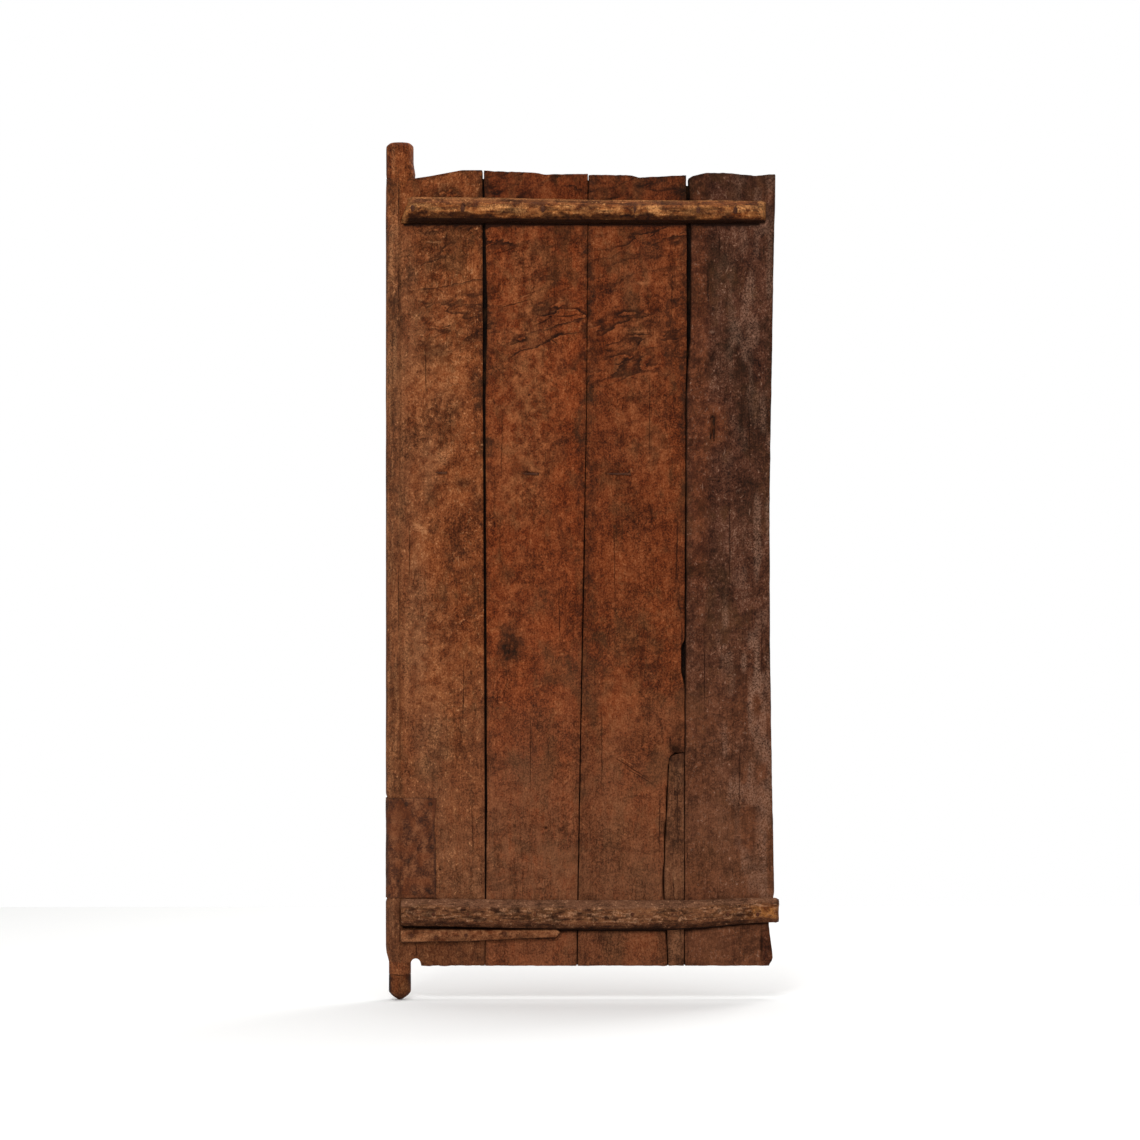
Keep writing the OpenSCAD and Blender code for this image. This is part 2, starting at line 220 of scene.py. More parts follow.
def tube(path, radii, sides, flat=1.0, flat_axis=(0, 1, 0)):
    """Points and quads of a closed bar along a path; flat squeezes it along flat_axis."""
    path = np.array(path, float)
    ahead = np.gradient(path, axis=0)
    ahead /= np.linalg.norm(ahead, axis=1)[:, None]
    side = np.cross(ahead, np.array(flat_axis, float))
    side /= np.linalg.norm(side, axis=1)[:, None]
    up = np.cross(side, ahead)
    turn = np.linspace(0, 2 * np.pi, sides, endpoint=False)
    ring = (np.cos(turn)[None, :, None] * side[:, None] +
            flat * np.sin(turn)[None, :, None] * up[:, None])
    points = path[:, None] + np.array(radii)[:, None, None] * ring
    return closed_rows(points)


def closed_rows(rows):
    """Joins rings of points into a closed skin with a point at each end's middle."""
    count, sides = rows.shape[:2]
    index = np.arange(count * sides).reshape(count, sides)
    after = np.roll(index, -1, 1)
    quads = np.stack([index[:-1], after[:-1], after[1:], index[1:]], -1).reshape(-1, 4)
    faces = quads.tolist()
    first, last = count * sides, count * sides + 1
    faces += [[first, after[0, k], index[0, k]] for k in range(sides)]
    faces += [[last, index[-1, k], after[-1, k]] for k in range(sides)]
    ends = np.stack([rows[0].mean(0), rows[-1].mean(0)])
    return np.concatenate([rows.reshape(-1, 3), ends]), faces


def joined(parts):
    """One list of points and faces from several."""
    points, faces, start = [], [], 0
    for p, f in parts:
        points.append(p)
        faces += [[start + i for i in face] for face in f]
        start += len(p)
    return np.concatenate(points), faces


def piece(name, node, slot, points, faces, material, body="leaf", **masks):
    """Makes the object that stands for a CAD node, in metres, with its masks as attributes."""
    mesh = bpy.data.meshes.new(name)
    mesh.from_pydata((points * MM).tolist(), [], [list(map(int, f)) for f in faces])
    mesh.update()
    mesh.shade_smooth()
    for mask, values in masks.items():
        layer = mesh.attributes.new(mask, "FLOAT", "POINT")
        layer.data.foreach_set("value", np.clip(values, 0, 1).astype(np.float32))
    made = bpy.data.objects.new(name, mesh)
    bpy.context.scene.collection.objects.link(made)
    made.data.materials.append(material)
    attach(made, body)
    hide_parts(node)


# ---------------------------------------------------------------- materials

class Nodes:
    """Short ways to add and link the nodes of one material."""

    def __init__(self, name):
        self.material = bpy.data.materials.new(name)
        self.material.use_nodes = True
        self.tree = self.material.node_tree
        self.shader = self.tree.nodes["Principled BSDF"]
        self.place = self.add("ShaderNodeTexCoord").outputs["Object"]

    def add(self, kind, **values):
        node = self.tree.nodes.new(kind)
        for key, value in values.items():
            setattr(node, key, value)
        return node

    def link(self, value, socket):
        if isinstance(value, bpy.types.NodeSocket):
            self.tree.links.new(value, socket)
        else:
            socket.default_value = value

    def math(self, operation, a, b=0.0):
        node = self.add("ShaderNodeMath", operation=operation)
        self.link(a, node.inputs[0])
        self.link(b, node.inputs[1])
        return node.outputs[0]

    def scaled(self, scale, place=None, turn=(0, 0, 0)):
        node = self.add("ShaderNodeMapping")
        self.link(place or self.place, node.inputs["Vector"])
        node.inputs["Scale"].default_value = scale
        node.inputs["Rotation"].default_value = turn
        return node.outputs[0]

    def noise(self, scale, detail=4.0, rough=0.55, place=None, turn=(0, 0, 0)):
        """Noise with its own number of cells per metre along each axis."""
        node = self.add("ShaderNodeTexNoise")
        self.link(self.scaled(scale, place, turn), node.inputs["Vector"])
        node.inputs["Scale"].default_value = 1.0
        node.inputs["Detail"].default_value = detail
        node.inputs["Roughness"].default_value = rough
        return node.outputs["Fac"]

    def span(self, value, low, high, to_low=0.0, to_high=1.0):
        node = self.add("ShaderNodeMapRange", interpolation_type="SMOOTHSTEP")
        self.link(value, node.inputs["Value"])
        for socket, number in zip(("From Min", "From Max", "To Min", "To Max"),
                                  (low, high, to_low, to_high)):
            node.inputs[socket].default_value = number
        return node.outputs["Result"]

    def ramp(self, value, stops):
        node = self.add("ShaderNodeValToRGB")
        band = node.color_ramp
        while len(band.elements) < len(stops):
            band.elements.new(0.5)
        for element, (at, colour) in zip(band.elements, stops):
            element.position = at
            element.color = (*colour, 1)
        self.link(value, node.inputs["Fac"])
        return node.outputs["Color"]

    def mix(self, amount, a, b):
        node = self.add("ShaderNodeMix", data_type="RGBA")
        self.link(amount, node.inputs["Factor"])
        for value, socket in ((a, node.inputs[6]), (b, node.inputs[7])):
            self.link((*value, 1) if isinstance(value, tuple) else value, socket)
        return node.outputs[2]

    def mask(self, name):
        return self.add("ShaderNodeAttribute", attribute_name=name).outputs["Fac"]

    def bump(self, height, distance):
        """Ties the shader's normal to a height, in units of the distance, in metres."""
        node = self.add("ShaderNodeBump")
        node.inputs["Distance"].default_value = distance
        node.inputs["Strength"].default_value = 1.0
        self.link(height, node.inputs["Height"])
        self.link(node.outputs["Normal"], self.shader.inputs["Normal"])

    def marks(self, spots, place):
        """Soft ellipses on the inner face, each (x, z, half length, half width, degrees)."""
        total = 0.0
        for x, z, length, width, angle in spots:
            node = self.add("ShaderNodeMapping", vector_type="TEXTURE")
            self.link(place, node.inputs["Vector"])
            node.inputs["Location"].default_value = (x * MM, FACE * MM, z * MM)
            node.inputs["Rotation"].default_value = (0, -math.radians(angle), 0)
            node.inputs["Scale"].default_value = (length * MM, 0.03, width * MM)
            reach = self.add("ShaderNodeVectorMath", operation="LENGTH")
            self.link(node.outputs[0], reach.inputs[0])
            spot = self.span(reach.outputs["Value"], 0.35, 1.25, 1.0, 0.0)
            total = self.math("MAXIMUM", total, spot)
        return total


ASKEW = (0.5, 0.7, 0.3)     # turns a noise away from the axes, so that its cells don't line up
SOOT_AND_SHADOW = srgb(26, 10, 4)      # near black: soot in cracks, and painted shadow under the ledges, along axe creases and in hollows


def grain_scale(along, across, stretch):
    """Cells per metre: across the grain on two axes, and stretch times longer along the third."""
    return tuple(across / stretch if axis == along else across for axis in "xyz")


def wandering(n, amount=0.005):
    """The object's coordinates, pushed about a little so that lines don't run straight."""
    warp = n.add("ShaderNodeTexNoise")
    warp.inputs["Scale"].default_value = 90
    n.link(n.place, warp.inputs["Vector"])
    shift = n.add("ShaderNodeVectorMath", operation="MULTIPLY_ADD")
    n.link(warp.outputs["Color"], shift.inputs[0])
    shift.inputs[1].default_value = (amount, amount, amount)
    n.link(n.place, shift.inputs[2])
    centred = n.add("ShaderNodeVectorMath", operation="SUBTRACT")
    n.link(shift.outputs[0], centred.inputs[0])
    centred.inputs[1].default_value = (amount / 2, amount / 2, amount / 2)
    return centred.outputs[0]


def thin_lines(n, scale, width, place, here, detail=3):
    """Lines along which a noise passes its middle value, as strong as the value here."""
    middle = n.math("ABSOLUTE", n.math("SUBTRACT", n.noise(scale, detail, 0.6, place), 0.5))
    return n.math("MULTIPLY", n.span(middle, width * 0.2, width, 1, 0), here)


def creases(n, place, here):
    """Painted shadow along wandering edges that an axe left: dark at the line and fading to one side of it."""
    tilted = n.scaled((1, 1, 1), place, (0, math.radians(15), 0))
    off = n.math("SUBTRACT", n.noise((8, 16, 24), 4, 0.5, tilted), 0.5)
    shade = n.math("MULTIPLY", n.span(off, 0.0, 0.10, 1, 0), n.span(off, -0.012, 0.0, 0, 1))
    some = n.span(n.noise((12, 12, 12), 3, 0.6), 0.42, 0.60, 0.25, 1.0)
    shade = n.math("MULTIPLY", shade, some)
    return n.math("MULTIPLY", shade, here)


def total(n, parts):
    """The sum of (value, share) pairs."""
    level = 0.0
    for part, share in parts:
        level = n.math("ADD", level, n.math("MULTIPLY", part, share))
    return level


def strongest(n, parts):
    """The highest of (value, share) pairs."""
    level = 0.0
    for part, share in parts:
        level = n.math("MAXIMUM", level, n.math("MULTIPLY", part, share))
    return level


def wood(name, tones, along="z", dust=srgb(116, 76, 52), dark_marks=(), pale_marks=(),
         flecks=0.3, fibrous=0.25, crease=0.0, rough=0.72, depth=0.00128, glow=None):
    """Old hewn wood: tones are its dark, middle, light and palest colours."""
    n = Nodes(name)
    place = wandering(n)
    cloud = n.noise(grain_scale(along, 13, 1.3), 3, 0.6)
    mottle = n.noise(grain_scale(along, 62, 1.2), 6, 0.72, place)
    leather = n.noise((300, 300, 270), 4, 0.8, place, ASKEW)
    streak = n.noise(grain_scale(along, 210, 13), 5, 0.65, place)
    fibre = n.noise(grain_scale(along, 900, 18), 3, 0.6)
    level = total(n, ((cloud, 0.20), (mottle, 0.22), (leather, 0.46 - 0.32 * fibrous),
                      (streak, 0.30 * fibrous), (fibre, 0.12)))
    deep = tuple(c * 0.42 for c in tones[0])
    colour = n.ramp(level, [(0.40, deep), (0.445, tones[0]), (0.495, tones[1]),
                            (0.55, tones[2]), (0.615, tones[3])])
    olive = n.span(n.noise(grain_scale(along, 19, 1.5), 4, 0.65), 0.50, 0.66, 0, 0.5)
    colour = n.mix(olive, colour, n.mix(leather, srgb(44, 26, 12), srgb(104, 66, 36)))

    # The dark marks are cracks and nail marks, and on the planks also painted shadow lines under axe steps
    drawn = n.marks(dark_marks, place)
    some = n.span(n.noise((15, 15, 11), 2), 0.44, 0.58)
    checks = thin_lines(n, grain_scale(along, 60, 26), 0.010, place, some)
    crackle = thin_lines(n, (48, 48, 60), 0.022, place, some, 6)
    crack_shade = creases(n, place, n.mask("crease")) if crease else 0.0
    pits = n.span(n.noise(grain_scale(along, 420, 3), 2, 0.5), 0.62, 0.72)

    grime = n.math("MULTIPLY", n.mask("grime"), n.span(mottle, 0.36, 0.62, 1.0, 0.2))
    colour = n.mix(grime, colour, n.mix(leather, srgb(22, 13, 8), srgb(66, 42, 24)))
    dusty = n.math("MULTIPLY", n.mask("dust"),
                   n.span(total(n, ((mottle, 0.6), (streak, 0.4))), 0.38, 0.56, 0.5, 1.0))
    dust_shade = n.mix(n.span(total(n, ((leather, 0.7), (fibre, 0.3))), 0.36, 0.64),
                       tuple(c * 0.62 for c in dust), tuple(c * 1.38 for c in dust))
    colour = n.mix(n.math("MULTIPLY", dusty, 0.85), colour, dust_shade)
    low_glow, high_glow = glow or (tones[1], tones[3])
    colour = n.mix(n.math("MULTIPLY", n.mask("warm"), n.span(leather, 0.35, 0.6, 0.3, 1.0)),
                   colour, n.mix(n.span(mottle, 0.38, 0.62), low_glow, high_glow))
    spots = n.span(n.noise((210, 210, 150), 4, 0.7, place, ASKEW), 0.57, 0.66)
    spots = n.math("MULTIPLY", spots, n.span(mottle, 0.44, 0.60, 0.0, flecks * 1.8))
    # The pale mask holds chips and dust streaks, and on the top ledge a painted highlight
    pale = strongest(n, ((n.math("MULTIPLY", n.mask("pale"), n.span(leather, 0.42, 0.58, 0.1, 1)), 1),
                         (spots, 1.0), (n.marks(pale_marks, place), 0.5)))
    colour = n.mix(pale, colour, n.mix(streak, tuple(c * 0.7 for c in tones[3]),
                                       tuple(c * 1.5 for c in tones[3])))
    # The dark mask holds real stains, and also painted shade and shadow: under the ledges and lath, down the rim's
    # far side, on the poles' undersides
    shade = n.math("MULTIPLY", n.mask("dark"), n.span(mottle, 0.36, 0.6, 1.0, 0.6))
    # Where the dark mask is near full the wood goes near black: mostly the painted shadow lines under the ledges
    # and the lath
    near_black_stain_and_shadow = n.span(n.mask("dark"), 0.72, 1.0, 0.0, 0.97)
    stain_and_shade = strongest(n, ((shade, 1), (near_black_stain_and_shadow, 1), (drawn, 0.8), (checks, 0.5), (crackle, 0.42),
                          (pits, 0.3), (crack_shade, crease)))
    colour = n.mix(stain_and_shade, colour, SOOT_AND_SHADOW)

    n.link(colour, n.shader.inputs["Base Color"])
    n.link(n.span(total(n, ((mottle, 1), (dusty, 1))), 0.3, 1.4, rough - 0.12, rough + 0.2),
           n.shader.inputs["Roughness"])
    n.shader.inputs["Specular IOR Level"].default_value = 0.06
    height = total(n, ((mottle, 0.9), (leather, 0.9), (streak, 0.4), (fibre, 0.2),
                       (checks, -0.5), (crackle, -0.4), (pits, -0.3), (drawn, -0.7)))
    n.bump(height, depth)
    return n.material


def rusty_iron(name, tones, metallic=0.25, rough=0.7, depth=0.0004, shine=0.15):
    """Forged or sheet iron, rusted: tones are its dark, middle and light colours."""
    n = Nodes(name)
    crust = n.noise((260, 260, 260), 6, 0.7)
    cloud = n.noise((45, 45, 30), 4, 0.6)
    pits = n.span(n.noise((620, 620, 620), 2), 0.58, 0.7)
    level = n.math("ADD", n.math("MULTIPLY", crust, 0.5), n.math("MULTIPLY", cloud, 0.5))
    colour = n.ramp(level, [(0.40, tones[0]), (0.5, tones[1]), (0.60, tones[2])])
    colour = n.mix(n.math("MULTIPLY", pits, 0.7), colour, srgb(24, 12, 7))
    colour = n.mix(n.math("MULTIPLY", n.mask("dark"), 0.8), colour, srgb(36, 21, 14))
    colour = n.mix(n.math("MULTIPLY", n.mask("warm"), 0.7), colour, srgb(112, 56, 26))
    n.link(colour, n.shader.inputs["Base Color"])
    n.link(n.span(crust, 0.3, 0.7, rough - 0.15, rough + 0.15), n.shader.inputs["Roughness"])
    n.shader.inputs["Metallic"].default_value = metallic
    n.shader.inputs["Specular IOR Level"].default_value = shine + metallic
    height = n.math("SUBTRACT", crust, n.math("MULTIPLY", pits, 0.5))
    n.bump(height, depth)
    return n.material


# ---------------------------------------------------------------- outlines read from the frame

def cast(node, start, way):
    """Where a ray, in millimetres, first meets the CAD node, or None."""
    hit, place, _, _ = frame["nodes"][node].ray_cast(Vector(start) * MM, Vector(way))
    return place / MM if hit else None


def outline(node, y):
    """The node's left and right edge at each height, up to where its top begins to slope."""
    rows = []
    for z in np.arange(FOOT + 3, TOP - TOP_SLOPES, 6):
        left, right = cast(node, (-200, y, z), (1, 0, 0)), cast(node, (1200, y, z), (-1, 0, 0))
        if left and right:
            rows.append((z, left.x, right.x))
    return np.array(rows).T


def tops(node, left, right):
    """The height of the node's top at each place across."""
    rows = []
    for x in np.arange(left, right, 4):
        hit = cast(node, (x, FACE + 1, 2000), (0, 0, -1))
        if hit:
            rows.append((x, hit.z))
    return np.array(rows).T


EDGES = {node: outline(node, BACK - 1)
         for node in ("hanging_plank", "second_plank", "third_plank", "leading_plank")}
EDGES["filler_strip"] = outline("filler_strip", FACE + 1)
TOPS = {node: tops(node, rows[1][-1] + 1, rows[2][-1] - 1) for node, rows in EDGES.items()}


# ---------------------------------------------------------------- hewn surfaces

def step_line(x, z, ridge):
    """Wood cut away just below a line (x, z, half length, degrees, depth)."""
    centre_x, centre_z, half, degrees, depth = ridge
    along, across = turned(x, z, centre_x, centre_z, degrees)
    run = 1 - smooth(0.75, 1.1, np.abs(along) / half)
    return depth * run * smooth(1.5, -1.5, across) * np.exp(np.minimum(across, 0) / 16)


def hewn(x, z, seed, dents=(), ridges=(), grain=0.35):
    """How far an axe-dressed face lies under its plane, in millimetres."""
    depth = 0.9 * fractal(x / 75, z / 240, seed) + 0.5
    depth += 1.3 * np.abs(fractal(x / 62, z / 88, seed + 3, 2))
    depth += grain * fractal(x / 5.5, z / 130, seed + 5, 3)
    for dent in dents:
        depth += dent[5] * blot(x, z, dent, 0.5)
    for ridge in ridges:
        depth += step_line(x, z, ridge)
    return depth


def two_sided(s):
    """Weights of the inner and outer face for a place s through the thickness."""
    return smooth(0.4, 0.0, s), smooth(0.6, 1.0, s)


def board(node, counts, seed, y0=FACE, y1=BACK, low=FOOT, high=TOP, arris=0.9, **detail):
    """An upright plank with the outline of its CAD node: points, quads and places."""
    heights, left, right = EDGES[node]
    top_x, top_z = TOPS[node]
    u, s, v, quads = shell(steps(counts[0]), steps(counts[1], 0), steps(counts[2], 0.2))
    z = low + v * (top_z.mean() - low)
    for _ in range(2):
        spread = 0.4 + 0.4 * smooth(800, 1100, z)
        a, b = np.interp(z, heights, left) - spread, np.interp(z, heights, right) + spread
        x = a + (b - a) * u
        crest = np.interp(x, top_x, top_z)
        z = low + v * (crest - low)
    y = y0 + s * (y1 - y0)
    wear_and_highlight = arris * (0.7 + 1.3 * noise(z / 38, x / 60, seed + 1) ** 2)
    x, y, z = rounded((x, y, z), (a, y0, low), (b, y1, crest), wear_and_highlight)
    front, back = two_sided(s)
    y = y + front * hewn(x, z, seed, **detail) - back * hewn(x, z, seed + 50)
    edge = smooth(0.06, 0, np.minimum(u, 1 - u))
    x = x + edge * 0.7 * fractal(z / 26, y / 30, seed + 9) * np.where(u < 0.5, 1, -1)
    z = z + (v > 0.995) * 1.2 * fractal(x / 9, y / 9, seed + 11)
    z = z + (v < 0.003) * 0.9 * fractal(x / 12, y / 9, seed + 12)
    return x, y, z, u, s, v, quads


def lathe(profile, seed, sides=64, wobble=0.35):
    """Points and faces of an upright turned pin from its (height, radius) rows."""
    z, r = np.array(profile, float).T
    turn = np.linspace(0, 2 * np.pi, sides, endpoint=False)
    grain = wobble * fractal(turn[None] * 4 + 40, z[:, None] / 60, seed)
    radius = r[:, None] + grain * np.minimum(r[:, None] / 8, 1)
    rows = np.stack([radius * np.cos(turn), radius * np.sin(turn),
                     np.repeat(z[:, None], sides, 1)], -1)
    return closed_rows(rows)


def bottom_ledge_centre(x):
    return LOW_LEDGE_MID + 1.5 - 4.7 * smooth(0, 330, x) + 10 * smooth(540, 740, x)


def bottom_ledge_radius(x):
    return LOW_LEDGE_R - 0.6 + 1.6 * smooth(0, 330, x) - 5 * smooth(520, 745, x)


def lath_foot(x):
    """Height of the lath's lower edge, which rises toward its thin end."""
    nose = 9 * smooth(LATH_END - 14, LATH_END, x) ** 2
    return LATH_LOW + 11 * (np.maximum(x, 0) / LATH_END) ** 1.3 + nose + 0.5 * np.sin(x / 31)


def contact_shadow(z, edge, width):
    """A painted shadow line just under an edge at the given height, fading downward."""
    return smooth(edge - width * 1.6, edge - width * 0.5, z) * smooth(edge + 8, edge + 2, z)


def painted_ledge_shadows(x, z):
    """Painted shadow lines where the planks meet the underside of the ledges and the lath."""
    high = contact_shadow(z, TOP_LEDGE_LOW - 1, 6) * smooth(0, 10, x) * smooth(728, 718, x)
    low = contact_shadow(z, bottom_ledge_centre(x) - bottom_ledge_radius(x), 4.5)
    lath = 0.9 * contact_shadow(z, lath_foot(x), 3.5) * (x < LATH_END)
    return np.maximum(high, np.maximum(low, lath))


def edge_grime(x, z, u, seed):
    """Ragged dirt along a plank's two edges and in a few patches."""
    near = smooth(0.10, 0, np.minimum(u, 1 - u) + 0.09 * fractal(z / 50, x / 30, seed))
    patch = smooth(0.60, 0.80, noise(x / 46, z / 78, seed + 7)) * 0.55
    upper = smooth(820, 1200, z)
    return np.maximum(near * (0.35 + 0.45 * upper), patch * (0.35 + 0.65 * upper))


def foot_dust(x, z, seed, top):
    """Dust thickens toward the foot of the leaf, with a cloudy edge."""
    cloud = fractal(x / 60, z / 90, seed, 3) * 170
    amount = 0.9 * (1 - 0.3 * smooth(140, 100, z))
    return amount * smooth(top, 180, z + cloud) + 0.08 * noise(x / 40, z / 110, seed + 2)


def above_ledge(z):
    return smooth(LEDGE_TOP - 10, LEDGE_TOP + 12, z)


def saw_line(v):
    """The dark edge of a plank's sawn top, for a place v up the plank."""
    return 0.7 * (v > 0.9975)


def rippled(z):
    """Where the two middle planks get painted shadow along axe ripples: strongest in two bands near their top."""
    lower = smooth(1150, 1260, z) * (0.6 + 0.4 * smooth(1420, 1360, z))
    return np.maximum(np.maximum(0.35, lower), smooth(1470, 1500, z))


# ---------------------------------------------------------------- the planks

def hanging_foot(x):
    """Height of the hanging plank's foot: by the pintle, over the arch, then level."""
    arch = np.sqrt(np.maximum(ARCH_R ** 2 - (x - ARCH_X) ** 2, 0)) + ARCH_Z
    return np.where(x < ARCH_X - ARCH_R, ROOT + 2, np.where(x > ARCH_X + ARCH_R, FOOT, arch))


def rim_radius(s, z, seed):
    """Radius of the hanging plank's round edge, which narrows to the pintle at its foot."""
    radius = np.where(z < ROOT + 20, LOWER_R + (RIM_R - LOWER_R) * (z - ROOT) / 20, RIM_R)
    radius -= 0.9 * smooth(SHOULDER - 30, SHOULDER, z)
    radius += 0.5 * fractal(s * 9, z / 70, seed + 4) - 0.3
    off_patch = smooth(2, 8, np.maximum(PATCH_LOW - z, z - PATCH_TOP))
    return radius + 2.2 * off_patch * smooth(ROOT + 10, ROOT + 40, z)


def hanging_shell(seed, dents):
    """The first plank with its half-round rim, as points, quads and places."""
    heights, _, right = EDGES["hanging_plank"]
    across = np.concatenate([np.linspace(0, STEP_X, 5), np.linspace(7, 46, 18),
                             49 + 123 * steps(34, 0.25)[1:]])
    a, s, v, quads = shell(across, np.linspace(0, 1, 25), steps(400, 0.2))
    crest = np.where(a < 27, SHOULDER, np.interp(a, *TOPS["hanging_plank"]))
    low = hanging_foot(a) + 1.6 * fractal(a / 7, a * 0, seed + 12) * smooth(44, 52, a)
    z = low + v * (crest - low)
    edge = np.interp(z, heights, right) + 0.4 + 0.4 * smooth(800, 1100, z)
    x = np.where(a > 60, 60 + (a - 60) * (edge - 60) / (across[-1] - 60), a)
    half = THICK / 2 + STEP_X * np.clip(1 - a / STEP_X, 0, 1)
    y = half * (2 * s - 1)
    wear_and_highlight = 0.9 * (0.7 + 1.3 * noise(z / 38, x / 60, seed + 1) ** 2)
    soft = rounded((x, y, z), (-40, FACE, low), (edge, BACK, crest), wear_and_highlight)
    x, y, z = (np.where(a > STEP_X, q, p) for p, q in zip((x, y, z), soft))
    rim = a == 0
    rim_r = rim_radius(s, z, seed)
    x = np.where(rim, -rim_r * np.sin(np.pi * s), x)
    y = np.where(rim, -rim_r * np.cos(np.pi * s), y)
    front, back = two_sided(s)
    under_patch = smooth(14, 4, np.maximum(PATCH_LOW - z, z - PATCH_TOP))
    under_patch *= smooth(PATCH_REACH + 12, PATCH_REACH, x)
    front *= hewn(x, z, seed, dents) * (1 - under_patch) + 0.6 * under_patch
    back *= hewn(x, z, seed + 50) * (1 - under_patch) + 0.6 * under_patch
    y = y + np.where(rim, 0, front - back)
    return x, y, z, s, v, quads


def pintles(seed):
    """The two round pins of the hanging plank."""
    chamfer = 9
    upper = [(1560, 20), (1592, 21.4)]
    upper += [(z, min(PIN_R, 21.4 + (z - 1592) / 7)) for z in range(1600, 1692, 4)]
    upper += [(TOP - chamfer * (1 - t), PIN_R - chamfer * t ** 1.6) for t in (0.15, 0.4, 0.7, 0.9)]
    upper += [(TOP, PIN_R - chamfer - 1), (TOP, 10), (TOP - 0.5, 4)]
    nose = cad_low.z / MM
    pin_r = LOWER_R + 0.6
    lower = [(nose, 2), (nose + 0.4, 4), (nose + 5, 11), (nose / 2 + 1, 16.8), (-2, pin_r - 0.9)]
    lower += [(1, pin_r)] + [(z, pin_r - 0.6 * (z == PIN_LINE)) for z in range(4, 60, 2)]
    lower += [(66, LOWER_R + 0.5), (90, LOWER_R)]
    points, faces = lathe(upper, seed)
    right = smooth(10, 26, points[:, 0])
    points[:, 0] += right * 3.5 * smooth(1662, 1632, points[:, 2])
    return joined([(points, faces), lathe(lower, seed + 1)])


def pintle_masks(points):
    """The pins' own masks: painted shade down their left side, rubbed dark below the scribed line and darker
    toward its flanks and nose, and dusty above it.
    """
    x, _, z = points.T
    rubbed = (z < PIN_LINE) * 1.0
    sides = smooth(9, 21, np.abs(x)) + smooth(-3, -15, z)
    scribed = smooth(2.2, 0.6, np.abs(z - PIN_LINE))
    return {"dark": 0.42 * smooth(-15, -28, x) + rubbed * (0.38 + 0.5 * sides) + 0.7 * scribed,
            "pale": 0.35 * blot(x, z, (-12, 1664, 30, 4, 90)),
            "dust": 0.45 * (z < 90) * (1 - 0.5 * rubbed)}


